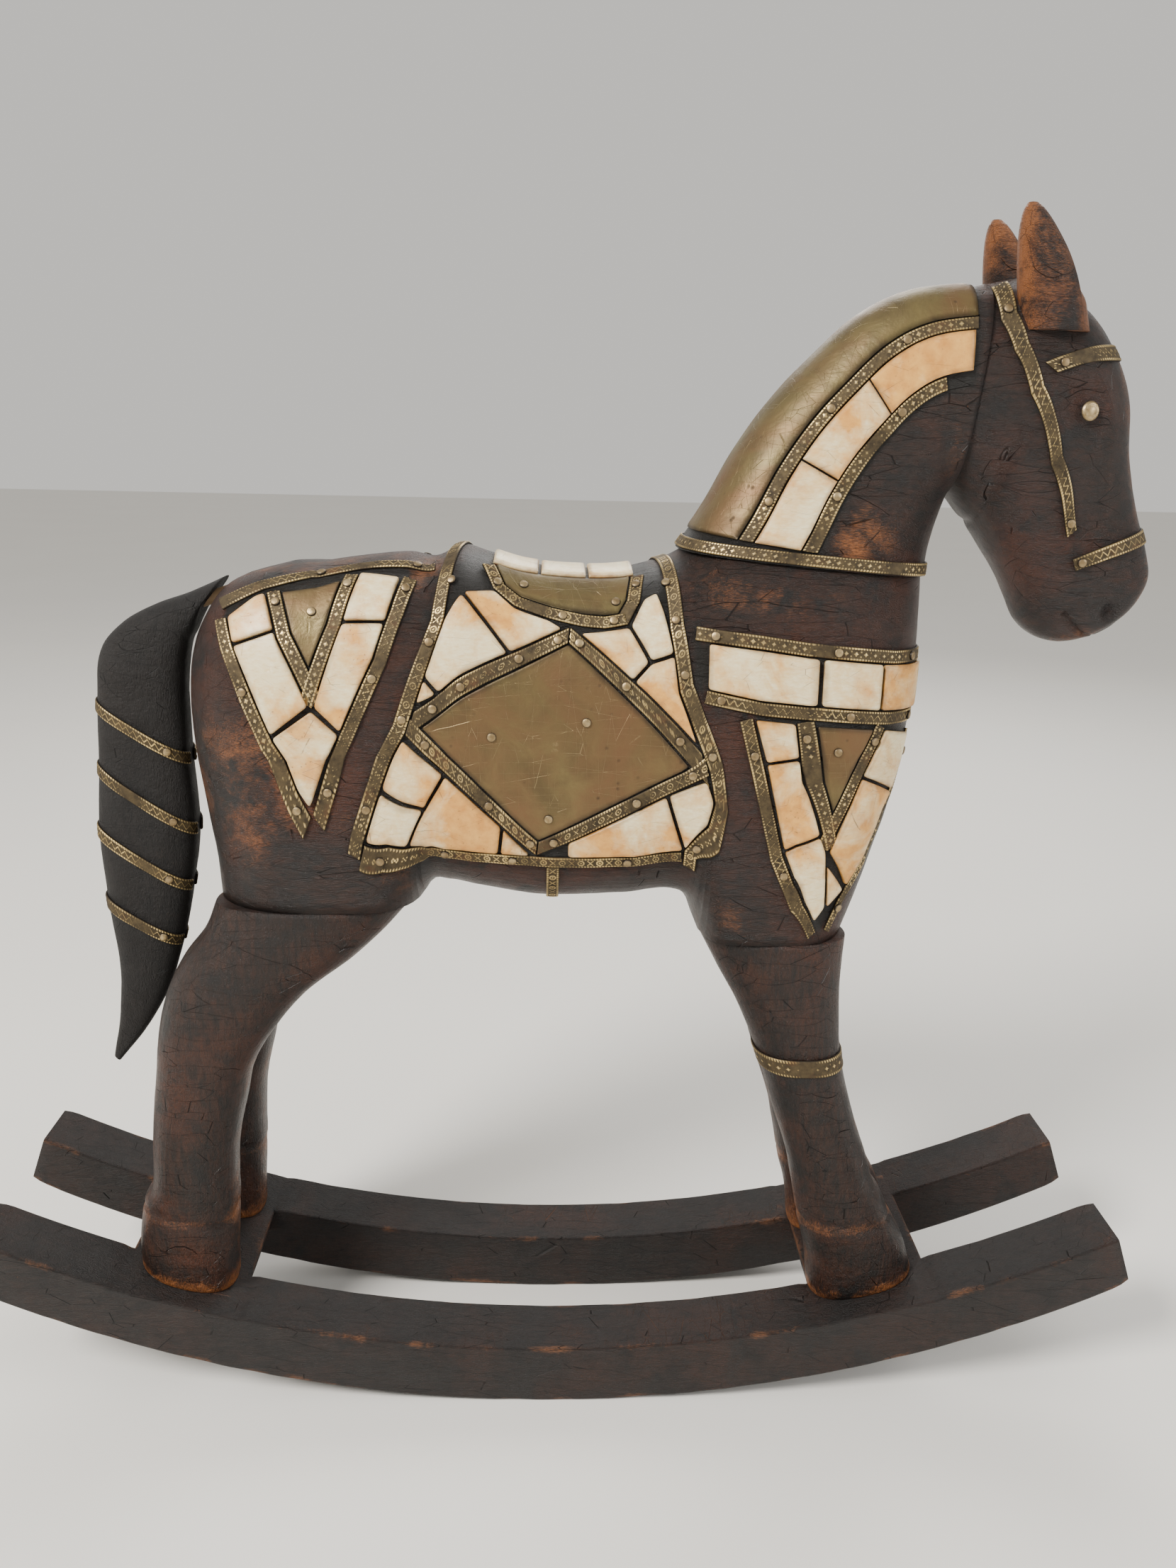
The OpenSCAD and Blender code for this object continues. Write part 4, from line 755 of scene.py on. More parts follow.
def bone_finish():
    f = Finish("polished_bone", Subsurface_Weight=0.05, Specular_IOR_Level=0.45)
    tint, rim = f.stored("tint"), f.stored("rim")
    cloud = f.noise(f.place, 52, 5, 0.62, 0.4)
    small = f.noise(f.place, 240, 4, 0.6)
    grain = f.noise(f.stretched(60, 20, 160, (0.2, 0.3, 0.4)), 8, 5, 0.6, 0.3)
    cream = f.mix(grain.ramp(0.3, 0.7), rgb(0.80, 0.69, 0.44), rgb(0.71, 0.53, 0.27))
    stain = (cloud.ramp(0.34, 0.68) * 1.05 + tint * 1.15 - 0.78).ramp(0, 0.6)
    colour = f.mix(stain, cream, f.mix(small.ramp(0.3, 0.7), rgb(0.72, 0.37, 0.09), rgb(0.53, 0.22, 0.04)))
    pits = f.cells(f.place, 640).ramp(0.0, 0.2, 1, 0) * cloud.ramp(0.48, 0.62)
    colour = f.mix(pits * 0.8, colour, rgb(0.17, 0.08, 0.03))
    crack = f.lines(f.stretched(20, 20, 60), 3.1, 0.007) * small.ramp(0.45, 0.6)
    colour = f.mix(crack * 0.8, colour, rgb(0.12, 0.06, 0.02))
    dirty_edge = rim.ramp(0.1, 1.5, 1, 0) * small.ramp(0.3, 0.65, 0.3, 1)
    colour = f.mix(dirty_edge * 0.8, colour, rgb(0.22, 0.11, 0.04))
    f.set(Base_Color=colour, Roughness=small * 0.22 + 0.24 + stain * 0.08)
    f.bump(grain * 0.12 + small * 0.12 - pits * 0.7 - crack * 0.5, 0.0004, 0.4)
    return f.material


def pressed_brass():
    f = Finish("pressed_brass")
    relief, tint, rim = f.stored("relief"), f.stored("tint"), f.stored("rim")
    cloud = f.noise(f.place, 80, 5, 0.62, 0.4)
    small = f.noise(f.place, 420, 4, 0.6)
    bright = f.mix(cloud.ramp(0.35, 0.65), rgb(0.78, 0.58, 0.26), rgb(0.50, 0.36, 0.15))
    dull = f.mix(small.ramp(0.3, 0.7), rgb(0.095, 0.068, 0.032), rgb(0.035, 0.025, 0.014))
    rubbed = (relief * 1.9 + small * 0.4 + cloud * 0.8 - tint * 0.15 - 0.86).ramp(0, 0.7)
    colour = f.mix(rubbed, dull, bright)
    red = cloud.ramp(0.56, 0.7) * small.ramp(0.35, 0.6) * 0.5
    colour = f.mix(red, colour, rgb(0.15, 0.065, 0.028))
    colour = f.mix(rim.ramp(0.0, 0.6, 0.85, 0), colour, rgb(0.016, 0.011, 0.008))
    f.set(Base_Color=colour, Metallic=rubbed.ramp(0, 1, 0.6, 0.95),
          Roughness=0.6 - rubbed * 0.3 + small * 0.14)
    f.bump(small + cloud * 0.5, 0.00025, 0.4)
    return f.material


def beaten_sheet():
    f = Finish("beaten_sheet")
    tint, rim = f.stored("tint"), f.stored("rim")
    cloud = f.noise(f.place, 34, 6, 0.62, 0.6)
    patch = f.noise(f.place, 95, 5, 0.62, 0.5)
    small = f.noise(f.place, 500, 3, 0.6)
    olive = f.mix(patch.ramp(0.35, 0.65), rgb(0.155, 0.118, 0.046), rgb(0.092, 0.067, 0.028))
    brown = (cloud.ramp(0.42, 0.68) * 0.8 + tint * 0.3 - 0.12).ramp(0, 1)
    colour = f.mix(brown, olive, rgb(0.145, 0.075, 0.034))
    scratch_a = f.lines(f.stretched(6, 30, 60, (0.1, 0.55, 0)), 5, 0.006)
    scratch_b = f.lines(f.stretched(50, 20, 5, (0.2, -0.8, 0)), 5, 0.005)
    scratch = (scratch_a + scratch_b).ramp(0, 1) * patch.ramp(0.44, 0.6)
    colour = f.mix(scratch * 0.5, colour, rgb(0.46, 0.35, 0.18))
    spots = f.cells(f.place, 230).ramp(0.0, 0.17, 1, 0) * cloud.ramp(0.5, 0.6)
    colour = f.mix(spots * 0.85, colour, rgb(0.03, 0.02, 0.012))
    dirty_edge = rim.ramp(0.0, 1.6, 0.85, 0) * patch.ramp(0.3, 0.6, 0.5, 1)
    colour = f.mix(dirty_edge, colour, rgb(0.025, 0.018, 0.010))
    f.set(Base_Color=colour, Metallic=(scratch * 0.3 + 0.62).ramp(0, 1),
          Roughness=(patch * 0.3 + cloud * 0.2 + 0.22 - scratch * 0.1 + spots * 0.2).ramp(0, 1))
    f.bump(patch * 0.8 + cloud * 0.6 + small * 0.1 - scratch * 0.3 - spots * 0.3, 0.0009, 0.5)
    return f.material


def pin_brass():
    f = Finish("pin_brass")
    tint, rim = f.stored("tint"), f.stored("rim")
    small = f.noise(f.place, 600, 4, 0.6)
    face = f.mix(small.ramp(0.35, 0.65), rgb(0.52, 0.40, 0.22), rgb(0.27, 0.19, 0.09))
    face = f.mix(tint * 0.7, face, rgb(0.17, 0.115, 0.06))
    colour = f.mix(rim.ramp(0.0, 0.34, 1, 0), face, rgb(0.02, 0.014, 0.010))
    f.set(Base_Color=colour, Metallic=rim.ramp(0.0, 0.3, 0.4, 0.9), Roughness=small * 0.3 + 0.3)
    f.bump(small, 0.0003, 0.5)
    return f.material


def plain_finish(name, tone, other, rough, metal=0.0):
    f = Finish(name, Metallic=metal)
    spots = f.noise(f.stretched(20, 60, 60), 20, 5, 0.6)
    f.set(Base_Color=f.mix(spots, tone, other), Roughness=spots * 0.3 + rough)
    f.bump(spots, 0.0003, 0.5)
    return f.material


# each look is a slot name and its finish
DARK_WOOD = "dark_wood", carved_wood(
    "dark_carved_wood", rgb(0.0065, 0.0038, 0.003), rgb(0.026, 0.0105, 0.006),
    rgb(0.060, 0.0165, 0.0075), rgb(0.24, 0.085, 0.026))
ROCKER_WOOD = "dark_wood", carved_wood(
    "dark_rocker_wood", rgb(0.005, 0.0035, 0.003), rgb(0.014, 0.0075, 0.0055),
    rgb(0.030, 0.011, 0.006), rgb(0.17, 0.066, 0.024), gloss=0.42)
LEG_WOOD = "dark_wood", carved_wood(
    "dark_leg_wood", rgb(0.0065, 0.0038, 0.003), rgb(0.028, 0.011, 0.006),
    rgb(0.070, 0.020, 0.008), rgb(0.25, 0.09, 0.028), (60, 60, 12))
TAIL_WOOD = "black_wood", carved_wood(
    "black_tail_wood", rgb(0.004, 0.0035, 0.0035), rgb(0.009, 0.0075, 0.007),
    rgb(0.012, 0.009, 0.008), rgb(0.05, 0.032, 0.022), (60, 60, 14), 0.55)
BONE = "bone", bone_finish()
STRIP = "brass_strip", pressed_brass()
SHEET = "brass_sheet", beaten_sheet()
PINS = "brass_pin", pin_brass()
DOWEL_WOOD = plain_finish("pale_dowel_wood", rgb(0.45, 0.30, 0.17), rgb(0.30, 0.19, 0.10), 0.5)
NAIL_IRON = plain_finish("nail_iron", rgb(0.10, 0.09, 0.085), rgb(0.16, 0.07, 0.035), 0.5, 0.8)


# ---------- carved wood ----------
def wobble(points, amount, scale, seed):
    """Small hand-carved unevenness at each point."""
    return np.array([noise.noise(Vector(p * scale + seed)) for p in points]) * amount


POLE = 88


def fan_skin(face, stations, levels):
    """Rings of a fanned piece, with the place of each point along and round it."""
    a = np.linspace(-POLE, POLE, levels)
    s, b = np.meshgrid(stations, np.concatenate([180 - a, a[::-1]]), indexing="ij")
    return face(s, b), s, b


def add_skin(parts, rings, wear, pitch=0.0):
    pitch = np.broadcast_to(pitch, rings.shape[:2])
    parts.add(rings, sweep(rings), wear=wear.ravel(), pitch=pitch.ravel())


def carve(node, look, rings, wear, pitch=0.0, work="carved"):
    parts = Parts()
    add_skin(parts, rings, wear, pitch)
    parts.make(f"{node}_{work}", look, node)


def spots(x, z, table):
    """Soft spots, each its strength, its centre and its two half sizes."""
    return sum(k * np.exp(-((x - a) / p) ** 2 - ((z - b) / q) ** 2) for k, a, b, p, q in table)


def band(x, at, size):
    return np.exp(-((x - at) / size) ** 2)


def skin_normals(rings):
    du = np.gradient(rings, axis=0)
    dv = np.roll(rings, -1, 1) - np.roll(rings, 1, 1)
    n = np.cross(du, dv)
    n = n * np.sign((n * (rings - rings.mean(1, keepdims=True))).sum())
    return n / np.maximum(1e-9, np.linalg.norm(n, axis=-1, keepdims=True))


def roughen(rings, amount=0.16, scale=0.07, seed=0.0):
    flat = rings.reshape(-1, 3)
    d = wobble(flat, amount, scale, seed) + wobble(flat, amount * 0.35, scale * 4, seed + 9)
    return rings + d.reshape(rings.shape[:2])[..., None] * skin_normals(rings)


# spacing of the torso's rings, and how far from the middle the leg joints start
STATION, LEGS_FROM = 1.5, 40


def collar_z(x):
    """Height of the cut that the neck sits on."""
    return COLLAR_REAR[1] + COLLAR_SLOPE * (x - COLLAR_REAR[0])


def torso_rings():
    """Rings from the rump's end to the chest's; at both ends they turn in."""
    turns = np.arange(4, 87, 3.2)
    stations = [(TORSO_REAR, t) for t in turns[::-1]] + [(TORSO_REAR, 0)]
    stations += [(x, 0) for x in np.arange(TORSO_REAR + STATION, TORSO_FRONT, STATION)]
    stations += [(TORSO_FRONT, 0)] + [(TORSO_FRONT, t) for t in turns]
    levels = np.linspace(0, 1, 46)
    rings = []
    for x, turn in stations:
        xa = np.array(float(x))
        zc, back, belly = (float(curve(t, xa)) for t in (WIDEST, BACK, BELLY))
        up, down = back - zc, zc - belly
        top = min(back, collar_z(x)) if x > COLLAR_REAR[0] else back
        bottom = belly if abs(x) <= LEGS_FROM else max(belly, FRONT_JOINT if x > 0 else REAR_JOINT)

        def angle(reach, cut):
            return POLE if cut >= reach else min(POLE, math.degrees(math.asin(max(0, cut / reach))))
        high, low = angle(up, top - zc), angle(down, zc - bottom)
        a = np.radians(-low + (high + low) * levels)
        z = zc + np.where(a > 0, up, down) * np.sin(a)
        y = section_y(xa + 0 * z, z)
        t = math.radians(turn)
        if turn:
            n = CHEST_N if x > 0 else RUMP_N
            end = curve(CHEST_FRONT if x > 0 else RUMP_REAR, z)
            px = x + (end - x) * math.sin(t) ** (2 / n)
            y = y * math.cos(t) ** (2 / n)
        else:
            px = x + 0 * z
        side = np.stack([px, y, z + BELLY_Z], -1)
        collar = np.minimum(side[:, 2], collar_z(side[:, 0]) - GLUE_T + BELLY_Z)
        side[:, 2] = np.where(side[:, 0] > COLLAR_REAR[0], collar, side[:, 2])
        rings.append(np.concatenate([side * [1, -1, 1], side[::-1]]))
    return np.array(rings)


def inside(points, outline):
    """True where an x, z point is within an outline."""
    x, z = points[..., 0], points[..., 1]
    out = np.zeros(x.shape, bool)
    outline = np.array(outline, float)
    for (ax, az), (bx, bz) in zip(outline, np.roll(outline, -1, 0)):
        cross = (az > z) != (bz > z)
        out ^= cross & (x < (bx - ax) * (z - az) / (bz - az + 1e-12) + ax)
    return out


# grounds under the cladding, as x and z outlines
PANELS = [
    [[-29, 107], [-35, 91], [-41, 75], [-46.5, 59], [-54, 42], [-60, 23], [-28, 19.5], [10, 18.2], [37, 21],
     [45.5, 30], [47, 38], [45, 48], [40, 60], [35.5, 71], [32.5, 88], [28, 104]],
    [[36.5, 86], [56, 84], [74, 82], [95, 80], [109, 80], [109, 62], [78, 63.5], [57, 66], [38, 71]],
    [[54, 66], [58, 49], [65, 22], [73, 3], [79, -5], [86, 6], [93, 19], [99, 35], [104, 46], [108, 60]],
    [[-97, 92], [-95, 80], [-84, 54], [-72, 32], [-64.5, 50], [-57.5, 65], [-47.5, 92], [-43.5, 103],
     [-58, 103], [-72, 101], [-85, 97.5]]]


TORSO_WEAR = [(0.35, 60, 98, 30, 9), (0.5, -92, 40, 22, 30), (0.35, -45, 15, 16, 22), (0.3, 50, 0, 14, 12)]
NECK_TOP, HEAD_END, TAIL_END = 7, 10, 11


def build_torso():
    rings = torso_rings()
    x, z = rings[..., 0], rings[..., 2] - BELLY_Z
    pitch = sum(inside(np.stack([x, z], -1), p).astype(float) for p in PANELS).clip(0, 1)
    wear = spots(x, z, TORSO_WEAR) + 0.25 * (z > 95) * (x < -30)
    carve("torso", DARK_WOOD, roughen(rings), wear, pitch)


def build_neck():
    rings, s, b = fan_skin(neck_round, np.linspace(0, NECK_TOP, 60), 40)
    f = np.sin(np.radians(b))
    pitch = ((f > 0.02) & (s < 6.85)).astype(float)
    wear = spots(s, f, [(0.45, 1, -0.3, 1.6, 0.4), (0.3, 6, -0.5, 1.2, 0.5)])
    carve("neck", DARK_WOOD, roughen(rings, seed=3), wear, pitch)


EAR_ROWS = [[0, 125.5, 145], [11, 123.8, 141.8], [19, 122.8, 138], [26, 122.5, 133], [30.5, 123, 129],
            [32.5, 124, 126.5]]
EAR_HALF = [[0, 6.2], [11, 6], [19, 5.4], [26, 4.2], [30.5, 2.8], [32.5, 1.2]]
EAR_N = 2.1
EAR_BASE, EAR_GAP = 171, 27


def build_head():
    """The head with its sunk nostrils, mouth and eye hollows, and its two ears."""
    rings, s, b = fan_skin(head_round, np.linspace(0, HEAD_END, 110), 56)
    rings = roughen(rings, 0.12, seed=5)
    f = np.sin(np.radians(b))
    m, h = s * CHEEK_STEP, f * CHEEK_HALF
    dent = spots(m, h, [(1.6, 92, 3, 4.5, 3.2), (1.1, 33, 9.5, 6, 5), (-1.1, 33, 15, 9, 3)])
    dent += 0.9 * band(h + 0.05 * (m - 90), -14, 1.1) * (m > 80)
    dent += 0.7 * band(m - 0.12 * (h + 10) ** 2 / 4, 22, 2.6) * (h < -4)
    rings = rings - dent[..., None] * skin_normals(rings)
    wear = 0.35 * band(m, 100, 14) + 0.3 * band(f, 0.9, 0.15) * (s > 2) - 0.6 * band(s, 0, 0.5)
    parts, ear = Parts(), Parts()
    add_skin(parts, rings, wear)
    z = np.concatenate([np.linspace(0, 30, 22), [31, 31.8, 32.4]])[:, None]
    turn = (np.arange(28) + 0.5) / 28 * 2 * math.pi
    rear, front, half = curve(EAR_ROWS, z, 1), curve(EAR_ROWS, z, 2), curve(EAR_HALF, z)
    ca, sa = np.cos(turn)[None, :], np.sin(turn)[None, :]
    x = (rear + front) / 2 + (front - rear) / 2 * spower(ca, 2 / EAR_N)
    y = EAR_GAP / 2 + half * spower(sa, 2 / EAR_N)
    hollow = 3.0 * np.clip(ca, 0, 1) ** 3 * np.clip((z - 8) / 6, 0, 1) * np.clip((32 - z) / 8, 0, 1)
    x = x - hollow * (np.abs(sa) < 0.6)
    skin = np.stack([x, y, BELLY_Z + EAR_BASE + z + 0 * x], -1)
    add_skin(ear, skin, 0.35 + 0.45 * np.abs(ca) ** 4 + 0.2 * np.clip((z - 20) / 12, 0, 1))
    parts.join(ear).join(ear.mirrored())
    parts.make("head_carved", DARK_WOOD, "head")


def build_tail():
    rings, s, b = fan_skin(lambda s, b: tail_round(b, s), np.linspace(0, TAIL_END, 90), 30)
    carve("tail", TAIL_WOOD, roughen(rings, 0.2, 0.06, 7), 0.1 + 0 * s)


HOOF_SCORE = {"front": 0.21, "rear": 0.19}
LEG_SEED = {"front": 11, "rear": 13}


def build_leg(which, side, node):
    """A leg with a scored line above its hoof; made on the left."""
    up = np.concatenate([[0, 0.004], np.linspace(0.012, 1, 84)])
    f, turn = np.meshgrid(up, (np.arange(48) + 0.5) / 48 * 360, indexing="ij")
    rings = roughen(leg_point(which, turn, f), 0.18, 0.06, LEG_SEED[which])
    score = HOOF_SCORE[which]
    sunk = 0.7 * band(f - 0.012 * np.sin(np.radians(turn) * 2), score, 0.006)
    sunk += np.where(f < 0.004, 0.6, np.where(f < 0.01, 0.2, 0))
    rings = rings - sunk[..., None] * skin_normals(rings)
    wear = 0.4 * band(f, 0, 0.035) + 0.22 * np.abs(np.cos(np.radians(turn))) ** 8
    wear += 0.2 * band(f, score, 0.02) + 0.1 * (f < 0.6)
    parts = Parts()
    add_skin(parts, rings, wear)
    if side < 0:
        parts = parts.mirrored()
    parts.make(node + "_carved", LEG_WOOD, node)


BEVEL = 0.9
ROCKER_STATIONS = 150


def corners_round(corners, cuts):
    """Points of an outline's rounded corners: the corner's two signs and the way out of it."""
    out = []
    for i, (a, b) in enumerate(corners):
        for k in range(cuts):
            t = math.radians(90 * (i + k / (cuts - 1)))
            out.append((a, b, math.cos(t), math.sin(t)))
    return out


def rocker_rings(side):
    reach = np.linspace(-1, 1, ROCKER_STATIONS)
    outline = corners_round(((1, 1), (-1, 1), (-1, 0), (1, 0)), 5)
    rings = []
    for r in reach:
        x_low, x_high = r * ROCKER_LEN / 2, r * (ROCKER_LEN / 2 - ROCKER_LEAN)
        z_low, z_high = ROCKER_R - math.sqrt(ROCKER_R ** 2 - x_low ** 2), seat_z(x_high)
        for seat in (SLAT_FRONT_X, SLAT_REAR_X):
            a = seat_angle(seat)
            if abs((x_high - seat) / math.cos(a)) < SEAT_FLAT:
                z_high = min(z_high, seat_z(seat) + (x_high - seat) * math.tan(a))
        low, high = np.array([x_low, z_low]), np.array([x_high, z_high])
        up = unit(high - low)
        ring = []
        for cx, top, ca, sa in outline:
            p = (high - up * BEVEL if top else low + up * BEVEL) + up * BEVEL * sa
            y = side * ROCKER_Y + cx * (ROCKER_W / 2 - BEVEL) + BEVEL * ca
            ring.append([p[0], y, p[1]])
        rings.append(ring)
    return reach, np.array(rings)


def build_rocker(side, node):
    """A rocker with chipped edges; its wide faces are cut finer between the corners."""
    reach, rings = rocker_rings(side)
    k = rings.shape[1]
    places = []
    for i in range(k):
        places.append((i, 0))
        if np.linalg.norm(rings[0, i] - rings[0, (i + 1) % k]) > 3:
            places += [(i, t) for t in (0.12, 0.3, 0.5, 0.7, 0.88)]
    rings = np.stack([rings[:, i] * (1 - t) + rings[:, (i + 1) % k] * t for i, t in places], 1)
    chip = wobble(rings.reshape(-1, 3), 1.0, 0.09, 21 + side).reshape(rings.shape[:2])
    wear = np.array([0.0 if t else 0.3 for i, t in places]) * (0.6 + 1.4 * chip)
    wear += 0.18 * np.clip((np.abs(reach) - 0.97) / 0.03, 0, 1)[:, None]
    mid = rings.mean(1, keepdims=True)
    rings = rings + (mid - rings) * (0.02 * np.clip(chip, 0, 1) * (wear > 0.2))[..., None]
    ends = np.ones(len(reach))
    ends[[0, -1]], ends[[1, -2]] = 0.94, 0.985
    carve(node, ROCKER_WOOD, mid + (rings - mid) * ends[:, None, None], wear)


def build_slat(seat_x, node):
    half = [SLAT_W / 2, ROCKER_Y + ROCKER_W / 2 - SLAT_IN, SLAT_T / 2]
    ring = [(cx * (half[0] - BEVEL) + BEVEL * ca, cz * (half[2] - BEVEL) + BEVEL * sa)
            for cx, cz, ca, sa in corners_round(((1, 1), (-1, 1), (-1, -1), (1, -1)), 4)]
    ring = stepped(ring + [ring[0]], 3)[:-1]
    a = seat_angle(seat_x)
    rings, wear = [], []
    for y in np.concatenate([[-1, -0.99, -0.97], np.linspace(-0.9, 0.9, 30), [0.97, 0.99, 1]]):
        f = 1 - max(0, abs(y) - 0.97)
        x, z = ring[:, 0] * f, ring[:, 1] * f - half[2]
        rings.append(np.stack([seat_x + x * math.cos(a) - z * math.sin(a), np.full(len(x), y * half[1]),
                               seat_z(seat_x) + x * math.sin(a) + z * math.cos(a)], -1))
        edge = np.maximum(0, np.abs(x) / half[0] - 0.9) * 10 * (z > -3)
        wear.append(0.45 * edge + 0.35 * (abs(y) > 0.9))
    carve(node, ROCKER_WOOD, roughen(np.array(rings), 0.1, 0.08, 31), np.array(wear), work="planed")


build_torso()
build_neck()
build_head()
build_tail()
for side, hand in ((-1, "right"), (1, "left")):
    build_leg("front", side, "leg_front_" + hand)
    build_leg("rear", side, "leg_rear_" + hand)
    build_rocker(side, "rocker_" + hand)
build_slat(SLAT_FRONT_X, "cross_slat_front")
build_slat(SLAT_REAR_X, "cross_slat_rear")


# ---------- brass and bone ----------
def both_hands(build, name, look):
    """One piece for each hand, made once for the left and mirrored for the right."""
    left = Parts()
    build(left)
    for parts, hand in ((left, "left"), (left.mirrored(), "right")):
        parts.make(f"{name}_{hand}_worked", look, f"{name}_{hand}")


def single(build, name, look, doubled=False):
    parts = Parts()
    build(parts)
    if doubled:
        parts.join(parts.mirrored())
    parts.make(name + "_worked", look, name)


def level(x, height):
    """A line along x at one height."""
    return np.stack([x, np.full(len(x), float(height))], -1)


def along_neck(low, high, f, cuts):
    return level(np.linspace(low, high, cuts), math.degrees(math.asin(f)))


MANE_LOW, BONE_TOP, BONE_LOW, NECK_GAP, STRIP_LOW = 0.68, 0.54, 0.18, 0.015, 0.04
NECK_FROM, NECK_TO, NECK_LOW_TO = 0.48, 6.75, 6.1
NECK_JOINTS, JOINT_GAP = [NECK_FROM, 2.35, 4.35, 6.75], 0.05


def mane_plate(parts):
    a = math.degrees(math.asin(MANE_LOW))
    s = np.linspace(NECK_FROM, NECK_TO, 90)
    grid_sheet(parts, neck_round, level(s, 180 - a)[::-1], level(s, a)[::-1], BRASS_T, 26, 2.0, 0.3, 0.12)


def neck_strips(parts):
    ribbon(parts, neck_round, along_neck(NECK_FROM, NECK_TO, BONE_TOP + NECK_GAP, 330),
           along_neck(NECK_FROM, NECK_TO, MANE_LOW - NECK_GAP, 330), star_pattern)
    ribbon(parts, neck_round, along_neck(NECK_FROM, NECK_LOW_TO, STRIP_LOW, 260),
           along_neck(NECK_FROM, NECK_LOW_TO, BONE_LOW - NECK_GAP, 260), star_pattern)


def neck_bone(parts):
    for i, tint in enumerate((0.5, 0.6, 0.75)):
        low, high = NECK_JOINTS[i], NECK_JOINTS[i + 1] - JOINT_GAP
        grid_sheet(parts, neck_round, along_neck(low, high, BONE_LOW, 40),
                   along_neck(low, high, BONE_TOP, 40), BONE_T, 14, 5.0 + i, tint, 0.1)


COLLAR_S, COLLAR_RISE, COLLAR_OPEN = 0.03, [9.35, 5.05], 84


def neck_collar(parts):
    b = np.linspace(-COLLAR_OPEN, 180 + COLLAR_OPEN, 900)
    reach = STRIP_W / (COLLAR_RISE[0] + COLLAR_RISE[1] * np.sin(np.radians(b)))
    low, high = np.stack([COLLAR_S + reach, b], -1), np.stack([COLLAR_S + 0 * b, b], -1)
    ribbon(parts, neck_round, low, high, star_pattern)


CHEEK_PATH = [[2, 25.5], [4, 17], [9, 9.5], [17.6, 2.5], [34.7, -3.5], [57, -4]]


def cheek_straps(parts):
    strip(parts, cheek, CHEEK_PATH, -STRIP_W / 2, zigzag_pattern)


BROW, NOSE, BAND_PIN_TURN = [18, 1.05, 1.95], [-11, 6.07, 0.53], 6


def band_point(path, b):
    """Point b degrees round a head band, which is its start, its height and its slant."""
    return np.stack([path[1] + path[2] * np.sin(np.radians(b)), b], -1)


def head_band(parts, path, cuts):
    b = np.linspace(path[0], 180 - path[0], cuts)
    h = np.array([STRIP_W / 2 / CHEEK_STEP, 0])
    ribbon(parts, head_round, band_point(path, b) + h, band_point(path, b) - h, zigzag_pattern)


def browband(parts):
    head_band(parts, BROW, 220)


def noseband(parts):
    head_band(parts, NOSE, 300)


EYE_AT = [3, 20.7]
EYE_SIDES = 36
EYE_SHAPE = [(1, 0), (1, 0.12), (0.93, 0.38), (0.82, 0.66), (0.7, 0.86), (0.62, 0.8), (0.52, 0.88),
             (0.36, 1.1), (0.18, 1.2)]


def eye_studs(parts):
    """A domed stud with a ring scored round its pupil."""
    u, v = np.array([EYE_AT[0]]), np.array([EYE_AT[1]])
    n = normals(head_round, u, v, 0.01)[0]
    at = head_round(u, v)[0] + n * BED_T
    out = round_axes(n, EYE_SIDES)[1]
    rings = np.array([at + n * EYE_H * h / 1.25 + EYE_D / 2 * r * out for r, h in EYE_SHAPE])
    rim = [0.0 if 0.6 <= r <= 0.65 else (1 - r) * 2.6 for r, h in EYE_SHAPE]
    parts.add(rings, sweep(rings), rim=np.repeat(rim, EYE_SIDES), tint=0.2)


single(mane_plate, "mane_plate", SHEET)
both_hands(neck_strips, "neck_strips", STRIP)
both_hands(neck_bone, "neck_bone", BONE)
single(neck_collar, "neck_collar", STRIP)
single(cheek_straps, "cheek_straps", STRIP, True)
single(browband, "browband", STRIP)
single(noseband, "noseband", STRIP)
single(eye_studs, "eye_studs", PINS, True)


# the chest
def round_chest(path):
    path = [list(p) for p in path]
    return path + [[2 * MID_U - x, z] for x, z in path[-2::-1]]


STRAP_UPPER = [[37.5, 85.5], [56, 83.5], [74, 81], [95, 79], [MID_U, 78]]
STRAP_LOWER = [[40.5, 68], [57, 64.7], [78, 62.7], [95, 61.2], [MID_U, 60]]
CHEST_CUTS = [41, 72, 90, 114]


def chest_strap_upper(parts):
    strip(parts, chest, round_chest(STRAP_UPPER), 0, star_pattern)


def chest_strap_lower(parts):
    strip(parts, chest, round_chest(STRAP_LOWER), 0, zigzag_pattern)


def row_cell(low, high):
    us = [low, (low + high) / 2, high]
    return np.array([[u, straight(STRAP_LOWER, min(u, 2 * MID_U - u)) + STRIP_W] for u in us]
                    + [[u, straight(STRAP_UPPER, min(u, 2 * MID_U - u))] for u in us[::-1]])


def chest_bone(parts):
    for i, tint in enumerate((0.45, 0.35, 0.7)):
        tile(parts, chest, row_cell(CHEST_CUTS[i], CHEST_CUTS[i + 1]), tint, 2.0 + i)
    parts.join(parts.mirrored())
    tile(parts, chest, row_cell(CHEST_CUTS[3], 2 * MID_U - CHEST_CUTS[3]), 0.2, 8.0)


